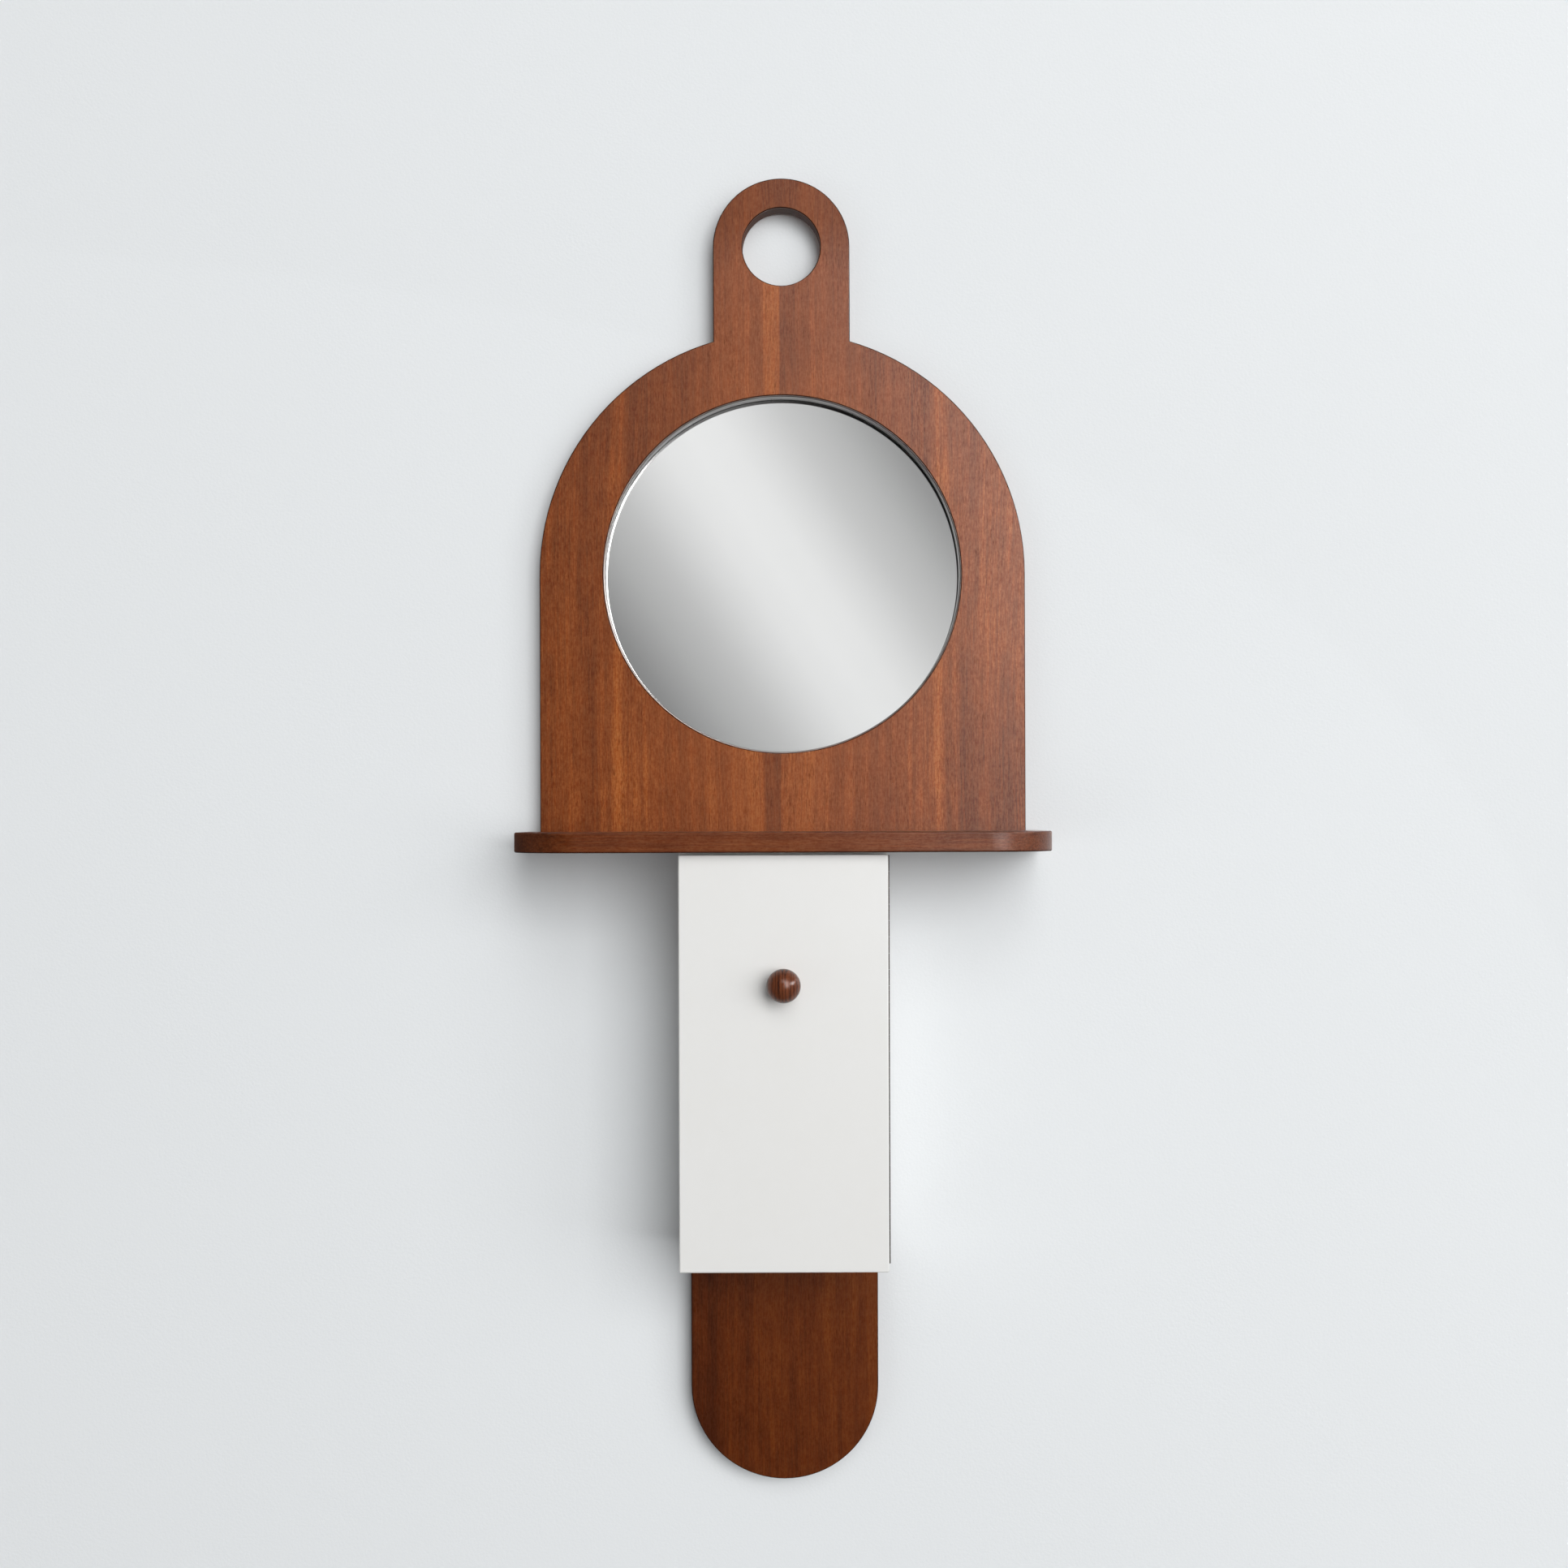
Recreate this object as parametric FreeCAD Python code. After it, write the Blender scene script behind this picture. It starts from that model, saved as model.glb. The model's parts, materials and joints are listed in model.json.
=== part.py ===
import FreeCAD, Part
import math
import os

# Wall cabinet with mirror. Millimetres. +Z is up and the front faces -Y.
# The wall is the plane y = 0. The origin is the middle of the shelf's rear edge, on the wall.

# Boards
board_thickness = 19.0
wall_gap = 3.0
edge_ease = 1.0

# Arch panel: the rim is the wood beside the mirror, the chin the wood below it, the neck
# the distance from the arch's crown to the middle of the hanging hole
panel_width = 455.0
rim_width = 61.0
chin_height = 74.5
tongue_width = 128.0
tongue_neck = 79.5
hang_hole_diameter = 73.0

# Shelf, with a shallow housing that the arch panel stands in
shelf_width = 486.0
shelf_depth = 140.0
shelf_thickness = 18.0
shelf_corner_radius = 60.0
shelf_ease = 1.5
shelf_overhang = 12.1
housing_depth = 3.0
housing_slack = 0.1

# Tail board, set in from the cabinet's sides, its drop measured from the top of the shelf
tail_inset = 5.0
tail_drop = 607.0

# Mirror and what holds it
liner_wall = 1.2
liner_setback = 0.8
glass_lap = 8.0
glass_thickness = 3.0
glass_ease = 0.4
glass_slack = 0.5
cushion_thickness = 0.5
backing_thickness = 2.5
clip_count = 6
clip_length = 26.0
clip_width = 12.0
clip_thickness = 1.2
clip_lap = 8.0
clip_screw_radius = 1.4
clip_screw_length = 9.0
clip_head_radius = 2.8
clip_head_height = 1.2

# Dowels and screws of the boards
dowel_radius = 4.0
dowel_chamfer = 1.0
dowel_in_shelf = 12.0
dowel_in_board = 26.0
dowel_slack = 0.05
screw_slack = 0.05
board_screw_radius = 2.2
board_screw_head_radius = 4.2
board_screw_length = 55.0
screw_sink = 0.3
recess_arm_share = 0.62
recess_width_share = 0.24
recess_depth_share = 0.8
tip_share = 1.6
panel_dowel_shares = (-0.42, -0.20, 0.20, 0.42)
panel_screw_shares = (-0.31, 0.31)
tail_dowel_shares = (-0.36, 0.36)
tail_screw_shares = (-0.11, 0.11)

# Joining plates on the back, across the shelf's rear edge
plate_reach_share = 0.88
plate_width = 20.0
plate_thickness = 2.0
plate_corner = 4.0
plate_slack = 0.5
plate_place_share = 0.23
plate_hole_shares = (-0.42, -0.24, 0.24, 0.42)
plate_screw_radius = 1.9
plate_screw_head_radius = 3.6
plate_screw_length = 15.0

# Keyhole hanger plates in the back of the tongue's foot
hanger_edge_margin = 14.0
hanger_below_crown = 2.5
hanger_length = 44.0
hanger_width = 20.0
hanger_thickness = 1.6
hanger_corner = 3.0
hanger_slack = 0.2
keyhole_entry_radius = 5.0
keyhole_slot_radius = 2.4
keyhole_travel = 9.0
keyhole_pocket_depth = 9.0
keyhole_pocket_margin = 0.6
hanger_hole_share = 0.38
hanger_screw_radius = 1.5
hanger_screw_head_radius = 2.9
hanger_screw_length = 12.0

# Felt pads between boards and wall
pad_radius = 10.0
panel_pad_share = 0.42
panel_pad_height = 28.0
tail_pad_share = 0.27

# Cabinet box
cabinet_width = 185.0
cabinet_height = 370.0
cabinet_wall = 12.0
cabinet_back_thickness = 6.0
cabinet_ease = 0.6
back_lap = 6.0
cabinet_dowel_radius = 3.0
cabinet_dowel_in_side = 8.0
cabinet_dowel_in_board = 16.0
cabinet_dowel_shares = (0.25, 0.75)
back_screw_radius = 1.9
back_screw_head_radius = 3.7
back_screw_length = 20.0
back_screw_across_share = 0.30
back_screw_up_shares = (0.14, 0.50, 0.86)
top_screw_length = 26.0
top_screw_shares = (-0.25, 0.25)
wall_screw_radius = 2.5
wall_screw_spacing = 260.0

# Shelf inside the cabinet
inner_shelf_thickness = 10.0
inner_shelf_share = 0.5
inner_shelf_setback = 12.0
inner_shelf_slack = 0.5
pin_radius = 2.5
pin_in_side = 8.0
pin_reach = 8.0
pin_slack = 0.05
pin_collar_radius = 3.6
pin_collar_thickness = 1.2
pin_gap = 0.1
pin_depth_shares = (0.16, 0.84)

# Door
door_thickness = 16.5
door_top_gap = 2.0
door_ease = 1.3

# Knob
knob_diameter = 30.0
knob_stand_off = 2.0
knob_neck_radius = 7.5
knob_drop = 114.0
knob_screw_radius = 2.0
knob_screw_slack = 0.2
knob_screw_grip = 14.0
knob_head_radius = 3.8
knob_head_height = 2.4
washer_radius = 5.0
washer_thickness = 0.8

# Continuous hinge on the right edge
leaf_thickness = 0.6
hinge_pin_radius = 0.6
hinge_running_slack = 0.05
hinge_stand_out = 0.8
leaf_width = 10.6
hinge_top_gap = 1.0
hinge_bottom_gap = 4.0
knuckle_count = 25
knuckle_gap = 0.3
knuckle_clearance = 0.3
hinge_screw_radius = 1.1
hinge_screw_head_radius = 2.1
hinge_screw_length = 10.0
hinge_screw_count = 5
hinge_screw_end_share = 0.07

# Magnetic catch on the left side
catch_height = 40.0
catch_body_height = 24.0
catch_reach = 13.0
catch_depth = 16.0
catch_setback = 1.0
catch_flange = 3.0
catch_gap = 0.3
magnet_height = 16.0
magnet_thickness = 4.0
magnet_depth = 11.0
magnet_slack = 0.05
pole_thickness = 1.2
catch_screw_radius = 1.3
catch_screw_head_radius = 2.5
catch_screw_length = 11.0
strike_height = 32.0
strike_width = 14.0
strike_thickness = 1.2
strike_corner = 2.0
strike_screw_radius = 1.3
strike_screw_head_radius = 2.4
strike_screw_length = 11.0

# Bumpers
bumper_radius = 4.0
bumper_gap = 0.2
bumper_end_gap = 14.0

# One overrun serves every cut, and two places nearer than this are one
overrun = 1.0
same_place = 1e-6

# Planes worked out from the sizes above
board_back_y = -wall_gap
board_front_y = -(wall_gap + board_thickness)
board_mid_y = (board_back_y + board_front_y) / 2
shelf_top_z = shelf_thickness / 2
shelf_bottom_z = -shelf_thickness / 2
panel_bottom_z = shelf_top_z - housing_depth
sight_radius = panel_width / 2 - rim_width
opening_radius = sight_radius + liner_wall
arch_centre_z = shelf_top_z + chin_height + sight_radius
crown_z = arch_centre_z + panel_width / 2
tongue_centre_z = crown_z + tongue_neck
tail_width = cabinet_width - 2 * tail_inset
tail_bottom_z = shelf_top_z - tail_drop
glass_radius = opening_radius + glass_lap
rebate_radius = glass_radius + glass_slack
rebate_depth = glass_thickness + cushion_thickness + backing_thickness
glass_front_y = board_back_y - rebate_depth
cushion_back_y = glass_front_y + glass_thickness + cushion_thickness
plate_length = 2 * plate_reach_share * (arch_centre_z - rebate_radius)
hanger_spacing = tongue_width - 2 * hanger_edge_margin - hanger_width
hanger_z = crown_z - hanger_below_crown
knuckle_radius = hinge_pin_radius + leaf_thickness
door_front_y = shelf_overhang - shelf_depth
door_back_y = door_front_y + door_thickness
cabinet_front_y = door_back_y + 2 * knuckle_radius
cabinet_depth = board_front_y - cabinet_front_y
cabinet_bottom_z = shelf_bottom_z - cabinet_height
door_top_z = shelf_bottom_z - door_top_gap
side_inner_x = cabinet_width / 2 - cabinet_wall
hinge_x = cabinet_width / 2 + hinge_stand_out
hinge_y = cabinet_front_y - knuckle_radius
hinge_top_z = door_top_z - hinge_top_gap
hinge_bottom_z = cabinet_bottom_z + hinge_bottom_gap
knob_z = door_top_z - knob_drop

os.makedirs("parts", exist_ok=True)

front = (0, -1, 0)
rear = (0, 1, 0)
up = (0, 0, 1)
down = (0, 0, -1)
left = (-1, 0, 0)
right = (1, 0, 0)


def vec(point):
    return FreeCAD.Vector(*point)


def block(x_span, y_span, z_span):
    # A block between the lowest and highest values of each span
    low = FreeCAD.Vector(min(x_span), min(y_span), min(z_span))
    high = FreeCAD.Vector(max(x_span), max(y_span), max(z_span))
    size = high - low
    return Part.makeBox(size.x, size.y, size.z, low)


def rod(radius, start, direction, length):
    return Part.makeCylinder(radius, length, vec(start), vec(direction))


def turned(profile, start, direction):
    # Revolves (radius, distance along the axis) pairs about a line from start
    points = [FreeCAD.Vector(radius, 0, distance) for radius, distance in profile]
    face = Part.Face(Part.makePolygon(points + points[:1]))
    solid = face.revolve(vec((0, 0, 0)), vec(up), 360)
    solid.Placement = FreeCAD.Placement(vec(start), FreeCAD.Rotation(vec(up), vec(direction)))
    return solid


def cross_recess(head_radius, start, direction):
    # The cross that a driver fits, cut into a screw's head
    arm = head_radius * recess_arm_share
    width = head_radius * recess_width_share
    depth = head_radius * recess_depth_share
    one = block((-arm, arm), (-width / 2, width / 2), (-overrun, depth / 2))
    other = block((-width / 2, width / 2), (-arm, arm), (-overrun, depth / 2))
    cross = one.fuse(other)
    cross.Placement = FreeCAD.Placement(vec(start), FreeCAD.Rotation(vec(up), vec(direction)))
    return cross


def sunk_screw(head_radius, radius, length, start, direction):
    # Countersunk wood screw: start is the middle of its head's flat
    tip = radius * tip_share
    profile = [(0, 0), (head_radius, 0), (radius, head_radius - radius), (radius, length - tip),
               (0, length)]
    return turned(profile, start, direction).cut(cross_recess(head_radius, start, direction))


def sunk_hole(head_radius, radius, length, start, direction):
    # The same screw grown by its slack, with an open mouth above the head
    wide = head_radius + screw_slack
    thin = radius + screw_slack
    deep = length + screw_slack
    profile = [(0, -overrun), (wide, -overrun), (wide, 0), (thin, wide - thin), (thin, deep), (0, deep)]
    return turned(profile, start, direction)


def dowel(radius, length, start, direction):
    chamfer = min(dowel_chamfer, radius / 2)
    slim = radius - chamfer
    profile = [(0, 0), (slim, 0), (radius, chamfer), (radius, length - chamfer), (slim, length),
               (0, length)]
    return turned(profile, start, direction)


def shifted(point, direction, distance):
    # The point moved along a direction
    return tuple(value + step * distance for value, step in zip(point, direction))


def ease_edges(shape, radius, wanted):
    # Rounds over the edges that the test picks
    edges = [edge for edge in shape.Edges if wanted(edge)]
    return shape.makeFillet(radius, edges)


def lies_at_y(edge, y):
    return all(abs(vertex.Y - y) < same_place for vertex in edge.Vertexes)


def lies_at_z(edge, z):
    return all(abs(vertex.Z - z) < same_place for vertex in edge.Vertexes)


def line(start, end):
    return Part.LineSegment(vec(start), vec(end)).toShape()


def arc(start, through, end):
    return Part.Arc(vec(start), vec(through), vec(end)).toShape()


def on_circle(centre_x, centre_z, radius, degrees, y):
    angle = math.radians(degrees)
    return (centre_x + radius * math.cos(angle), y, centre_z + radius * math.sin(angle))


def save(name, shape):
    # One file for each named piece or group of like pieces
    solids = shape.Solids
    if not solids or not shape.isValid():
        raise ValueError(name + " is not a sound solid")
    shape.exportStep("parts/" + name + ".step")
    print(name, len(solids), "solids, volume", round(shape.Volume, 1))


def save_group(name, shapes):
    save(name, Part.makeCompound(shapes))


# Where the fasteners of the boards go
panel_dowel_places = [(panel_width * share, board_mid_y, panel_bottom_z) for share in panel_dowel_shares]
tail_dowel_places = [(tail_width * share, board_mid_y, shelf_bottom_z) for share in tail_dowel_shares]
panel_screw_places = [(panel_width * share, board_mid_y, shelf_bottom_z + screw_sink)
                      for share in panel_screw_shares]
tail_screw_places = [(tail_width * share, board_mid_y, panel_bottom_z - screw_sink)
                     for share in tail_screw_shares]
plate_places_x = (-tail_width * plate_place_share, tail_width * plate_place_share)
plate_screw_places = [(x, board_back_y + plate_thickness, plate_length * share)
                      for x in plate_places_x for share in plate_hole_shares]
hanger_centres = [(-hanger_spacing / 2, hanger_z), (hanger_spacing / 2, hanger_z)]
hanger_screw_places = [(x, board_back_y, z + hanger_length * share)
                       for x, z in hanger_centres for share in (-hanger_hole_share, hanger_hole_share)]
clip_angles = [360 / clip_count * (number + 0.5) for number in range(clip_count)]


def vertical_dowels(places, direction, grow=0):
    # Each dowel passes from inside the shelf into the board beyond it
    length = dowel_in_shelf + dowel_in_board
    pieces = []
    for place in places:
        start = shifted(place, direction, -dowel_in_shelf - grow)
        if grow:
            pieces.append(rod(dowel_radius + grow, start, direction, length + 2 * grow))
        else:
            pieces.append(dowel(dowel_radius, length, start, direction))
    return pieces


def board_screws(places, direction, maker):
    return [maker(board_screw_head_radius, board_screw_radius, board_screw_length, place, direction)
            for place in places]


def plate_screws(maker):
    return [maker(plate_screw_head_radius, plate_screw_radius, plate_screw_length, place, front)
            for place in plate_screw_places]


def hanger_screws(maker):
    return [maker(hanger_screw_head_radius, hanger_screw_radius, hanger_screw_length, place, front)
            for place in hanger_screw_places]


def upright_plate(centre_x, centre_z, width, length, y_back, thickness, corner):
    # A flat plate with round corners, standing in the plane of the wall
    half_width = width / 2
    half_length = length / 2
    plate = block((centre_x - half_width, centre_x + half_width), (y_back - thickness, y_back),
                  (centre_z - half_length, centre_z + half_length))
    reach = min(corner, width / 3)
    return ease_edges(plate, reach, lambda edge: runs_through(edge, thickness))


def runs_through(edge, thickness):
    # An edge that crosses a plate from its rear to its front
    return abs(edge.Vertexes[0].Y - edge.Vertexes[-1].Y) > thickness / 2


def keyhole(centre_x, centre_z, y_span):
    # A round entry with a slot above it, through the given depth
    depth = max(y_span) - min(y_span)
    entry_z = centre_z - keyhole_travel / 2
    slot_z = centre_z + keyhole_travel / 2
    entry = rod(keyhole_entry_radius, (centre_x, max(y_span), entry_z), front, depth)
    slot_end = rod(keyhole_slot_radius, (centre_x, max(y_span), slot_z), front, depth)
    slot = block((centre_x - keyhole_slot_radius, centre_x + keyhole_slot_radius), y_span,
                 (entry_z, slot_z))
    return entry.fuse([slot_end, slot])


def hanger_pocket(centre_x, centre_z):
    # Round-ended room behind the keyhole for the wall screw's head
    radius = keyhole_entry_radius + keyhole_pocket_margin
    y_start = board_back_y - hanger_thickness + overrun
    depth = keyhole_pocket_depth + overrun
    low = (centre_x, y_start, centre_z - keyhole_travel / 2)
    high = (centre_x, y_start, centre_z + keyhole_travel / 2)
    middle = block((centre_x - radius, centre_x + radius), (y_start - depth, y_start), (low[2], high[2]))
    return rod(radius, low, front, depth).fuse([rod(radius, high, front, depth), middle])


def make_arch_panel():
    half = panel_width / 2
    tongue_half = tongue_width / 2
    y = board_back_y
    notch_angle = math.degrees(math.acos(tongue_half / half))
    mid_angle = notch_angle / 2
    notch_z = arch_centre_z + half * math.sin(math.radians(notch_angle))
    outline = [
        line((-half, y, panel_bottom_z), (-half, y, arch_centre_z)),
        arc((-half, y, arch_centre_z), on_circle(0, arch_centre_z, half, 180 - mid_angle, y),
            (-tongue_half, y, notch_z)),
        line((-tongue_half, y, notch_z), (-tongue_half, y, tongue_centre_z)),
        arc((-tongue_half, y, tongue_centre_z), (0, y, tongue_centre_z + tongue_half),
            (tongue_half, y, tongue_centre_z)),
        line((tongue_half, y, tongue_centre_z), (tongue_half, y, notch_z)),
        arc((tongue_half, y, notch_z), on_circle(0, arch_centre_z, half, mid_angle, y),
            (half, y, arch_centre_z)),
        line((half, y, arch_centre_z), (half, y, panel_bottom_z)),
        line((half, y, panel_bottom_z), (-half, y, panel_bottom_z)),
    ]
    face = Part.Face(Part.Wire(outline))
    panel = face.extrude(FreeCAD.Vector(0, -board_thickness, 0))
    through = board_thickness + 2 * overrun
    panel = panel.cut(rod(opening_radius, (0, y + overrun, arch_centre_z), front, through))
    panel = panel.cut(rod(hang_hole_diameter / 2, (0, y + overrun, tongue_centre_z), front, through))
    ease = min(edge_ease, board_thickness / 4)
    panel = ease_edges(panel, ease, lambda edge: not lies_at_z(edge, panel_bottom_z)
                       and (lies_at_y(edge, board_front_y) or lies_at_y(edge, board_back_y))
                       and not is_opening_at_back(edge))
    panel = panel.cut(rod(rebate_radius, (0, y + overrun, arch_centre_z), front, rebate_depth + overrun))
    cuts = vertical_dowels(panel_dowel_places, up, dowel_slack)
    cuts += board_screws(panel_screw_places, up, sunk_hole)
    cuts += plate_screws(sunk_hole)
    cuts += hanger_screws(sunk_hole)
    cuts += clip_screw_holes()
    for x, z in hanger_centres:
        cuts.append(upright_plate(x, z, hanger_width + 2 * hanger_slack, hanger_length + 2 * hanger_slack,
                                  board_back_y + overrun, hanger_thickness + overrun, hanger_corner))
        cuts.append(hanger_pocket(x, z))
    return panel.cut(cuts)


def is_opening_at_back(edge):
    # The rebate takes this edge away, so it isn't rounded
    return (edge.Closed and lies_at_y(edge, board_back_y)
            and abs(edge.BoundBox.XLength - 2 * opening_radius) < liner_wall)


def clip_place(angle, distance, y):
    return on_circle(0, arch_centre_z, distance, angle, y)


def clip_screw_distance():
    return rebate_radius - clip_lap + clip_length - (clip_length - clip_lap) / 2


def clip_screw_holes():
    length = clip_screw_length - clip_thickness + screw_slack
    return [rod(clip_screw_radius + screw_slack,
                clip_place(angle, clip_screw_distance(), board_back_y), front, length)
            for angle in clip_angles]


def make_clips():
    # Flat bars that run outwards from the backing board onto the panel
    clips = []
    for angle in clip_angles:
        inner = rebate_radius - clip_lap
        bar = block((inner, inner + clip_length), (board_back_y, board_back_y + clip_thickness),
                    (-clip_width / 2, clip_width / 2))
        corner = min(clip_width / 3, clip_length / 4)
        bar = ease_edges(bar, corner, lambda edge: abs(edge.BoundBox.YLength) > clip_thickness / 2)
        hole = rod(clip_screw_radius + screw_slack, (clip_screw_distance(), board_back_y - overrun, 0),
                   rear, clip_thickness + 2 * overrun)
        bar = bar.cut(hole)
        bar.rotate(vec((0, 0, 0)), vec(front), angle)
        bar.translate(FreeCAD.Vector(0, 0, arch_centre_z))
        clips.append(bar)
    return clips


def pan_screw(head_radius, head_height, radius, length, start, direction):
    # Start is the underside of the head, direction the way the shank goes
    tip = radius * tip_share
    crown = head_height / 3
    profile = [(0, -head_height), (head_radius - crown, -head_height), (head_radius, -head_height + crown),
               (head_radius, 0), (radius, 0), (radius, length - tip), (0, length)]
    screw = turned(profile, start, direction)
    return screw.cut(cross_recess(head_radius, shifted(start, direction, -head_height), direction))


def make_clip_screws():
    return [pan_screw(clip_head_radius, clip_head_height, clip_screw_radius, clip_screw_length,
                      clip_place(angle, clip_screw_distance(), board_back_y + clip_thickness), front)
            for angle in clip_angles]


def disc(radius, y_rear, thickness):
    return rod(radius, (0, y_rear, arch_centre_z), front, thickness)


def make_mirror_glass():
    glass = disc(glass_radius, glass_front_y + glass_thickness, glass_thickness)
    ease = min(glass_ease, glass_thickness / 3)
    return ease_edges(glass, ease, lambda edge: edge.Closed)


def make_liner():
    # Open band between the front edge of the wood and the glass
    front_y = board_front_y + liner_setback
    length = glass_front_y - front_y
    outer = disc(opening_radius, glass_front_y, length)
    inner = disc(sight_radius, glass_front_y + overrun, length + 2 * overrun)
    return outer.cut(inner)


def make_shelf():
    half = shelf_width / 2
    corner = shelf_corner_radius
    z = shelf_bottom_z
    bend = corner * (1 - math.sqrt(0.5))
    depth = shelf_depth
    outline = [
        line((-half, 0, z), (half, 0, z)),
        line((half, 0, z), (half, -depth + corner, z)),
        arc((half, -depth + corner, z), (half - bend, -depth + bend, z), (half - corner, -depth, z)),
        line((half - corner, -depth, z), (-half + corner, -depth, z)),
        arc((-half + corner, -depth, z), (-half + bend, -depth + bend, z), (-half, -depth + corner, z)),
        line((-half, -depth + corner, z), (-half, 0, z)),
    ]
    shelf = Part.Face(Part.Wire(outline)).extrude(FreeCAD.Vector(0, 0, shelf_thickness))
    ease = min(shelf_ease, shelf_thickness / 4)
    shelf = ease_edges(shelf, ease, lambda edge: not lies_at_y(edge, 0)
                       and (lies_at_z(edge, shelf_top_z) or lies_at_z(edge, shelf_bottom_z)))
    cuts = vertical_dowels(panel_dowel_places, up, dowel_slack)
    cuts += vertical_dowels(tail_dowel_places, down, dowel_slack)
    cuts += board_screws(panel_screw_places, up, sunk_hole)
    cuts += board_screws(tail_screw_places, down, sunk_hole)
    cuts += cabinet_top_screws(sunk_hole)
    half_housing = panel_width / 2 + housing_slack
    cuts.append(block((-half_housing, half_housing),
                      (board_front_y - housing_slack, board_back_y + housing_slack),
                      (panel_bottom_z, shelf_top_z + overrun)))
    half_notch = plate_width / 2 + plate_slack
    for x in plate_places_x:
        cuts.append(block((x - half_notch, x + half_notch), (-wall_gap, overrun),
                          (shelf_bottom_z - overrun, shelf_top_z + overrun)))
    return shelf.cut(cuts)


def make_tail_board():
    half = tail_width / 2
    y = board_back_y
    arc_z = tail_bottom_z + half
    outline = [
        line((-half, y, shelf_bottom_z), (half, y, shelf_bottom_z)),
        line((half, y, shelf_bottom_z), (half, y, arc_z)),
        arc((half, y, arc_z), (0, y, tail_bottom_z), (-half, y, arc_z)),
        line((-half, y, arc_z), (-half, y, shelf_bottom_z)),
    ]
    board = Part.Face(Part.Wire(outline)).extrude(FreeCAD.Vector(0, -board_thickness, 0))
    ease = min(edge_ease, board_thickness / 4)
    board = ease_edges(board, ease, lambda edge: not lies_at_z(edge, shelf_bottom_z)
                       and (lies_at_y(edge, board_front_y) or lies_at_y(edge, board_back_y)))
    cuts = vertical_dowels(tail_dowel_places, down, dowel_slack)
    cuts += board_screws(tail_screw_places, down, sunk_hole)
    cuts += plate_screws(sunk_hole)
    cuts += cabinet_back_screws(sunk_hole)
    cuts += wall_screw_holes()
    return board.cut(cuts)


def make_joining_plates():
    plates = []
    for x in plate_places_x:
        plate = upright_plate(x, 0, plate_width, plate_length, board_back_y + plate_thickness,
                              plate_thickness, plate_corner)
        plates.append(plate.cut(plate_screws(sunk_hole)))
    return plates


def make_hanger_plates():
    plates = []
    for x, z in hanger_centres:
        plate = upright_plate(x, z, hanger_width, hanger_length, board_back_y, hanger_thickness,
                              hanger_corner)
        y_span = (board_back_y - hanger_thickness - overrun, board_back_y + overrun)
        plate = plate.cut(keyhole(x, z, y_span))
        plates.append(plate.cut(hanger_screws(sunk_hole)))
    return plates


def make_wall_pads():
    places = [(-panel_width * panel_pad_share, shelf_top_z + panel_pad_height),
              (panel_width * panel_pad_share, shelf_top_z + panel_pad_height),
              (-tail_width * tail_pad_share, tail_bottom_z + tail_width / 2),
              (tail_width * tail_pad_share, tail_bottom_z + tail_width / 2)]
    return [rod(pad_radius, (x, 0, z), front, wall_gap) for x, z in places]


# Cabinet box

def wall_screw_holes():
    middle = shelf_bottom_z - cabinet_height / 2
    start_y = board_back_y + overrun
    depth = board_thickness + cabinet_back_thickness + 2 * overrun
    return [rod(wall_screw_radius, (0, start_y, middle + side * wall_screw_spacing / 2), front, depth)
            for side in (-1, 1)]


def cabinet_back_screws(maker):
    y = board_front_y - cabinet_back_thickness
    places = [(cabinet_width * back_screw_across_share * side, y, cabinet_bottom_z + cabinet_height * share)
              for side in (-1, 1) for share in back_screw_up_shares]
    return [maker(back_screw_head_radius, back_screw_radius, back_screw_length, place, rear)
            for place in places]


def cabinet_top_screws(maker):
    y = board_front_y - cabinet_back_thickness - (cabinet_depth - cabinet_back_thickness) / 2
    return [maker(back_screw_head_radius, back_screw_radius, top_screw_length,
                  (cabinet_width * share, y, shelf_bottom_z - cabinet_wall), up)
            for share in top_screw_shares]


def cabinet_dowels(grow=0):
    # Level dowels through each side into the ends of the top and bottom
    length = cabinet_dowel_in_side + cabinet_dowel_in_board
    board_depth = cabinet_depth - cabinet_back_thickness
    pieces = []
    for side, direction in ((-1, right), (1, left)):
        for z in (shelf_bottom_z - cabinet_wall / 2, cabinet_bottom_z + cabinet_wall / 2):
            for share in cabinet_dowel_shares:
                x = side * (side_inner_x + cabinet_dowel_in_side + grow)
                start = (x, cabinet_front_y + board_depth * share, z)
                if grow:
                    pieces.append(rod(cabinet_dowel_radius + grow, start, direction, length + 2 * grow))
                else:
                    pieces.append(dowel(cabinet_dowel_radius, length, start, direction))
    return pieces


def inner_shelf_bottom():
    return cabinet_bottom_z + cabinet_height * inner_shelf_share - inner_shelf_thickness / 2


def shelf_pins(grow=0):
    # Pins in the sides, with a collar against the wood
    z = inner_shelf_bottom() - pin_gap - pin_radius
    board_depth = cabinet_depth - cabinet_back_thickness - inner_shelf_setback
    pieces = []
    for side, direction in ((-1, right), (1, left)):
        for share in pin_depth_shares:
            y = cabinet_front_y + inner_shelf_setback + board_depth * share
            start = (side * (side_inner_x + pin_in_side + grow), y, z)
            if grow:
                pieces.append(rod(pin_radius + grow, start, direction, pin_in_side + 2 * grow))
            else:
                collar = rod(pin_collar_radius, (side * side_inner_x, y, z), direction, pin_collar_thickness)
                top = block((-cabinet_width, cabinet_width), (y - pin_collar_radius, y + pin_collar_radius),
                            (z + pin_radius, z + 2 * pin_collar_radius))
                pin = rod(pin_radius, start, direction, pin_in_side + pin_reach)
                pieces.append(pin.fuse(collar).cut(top))
    return pieces


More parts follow.
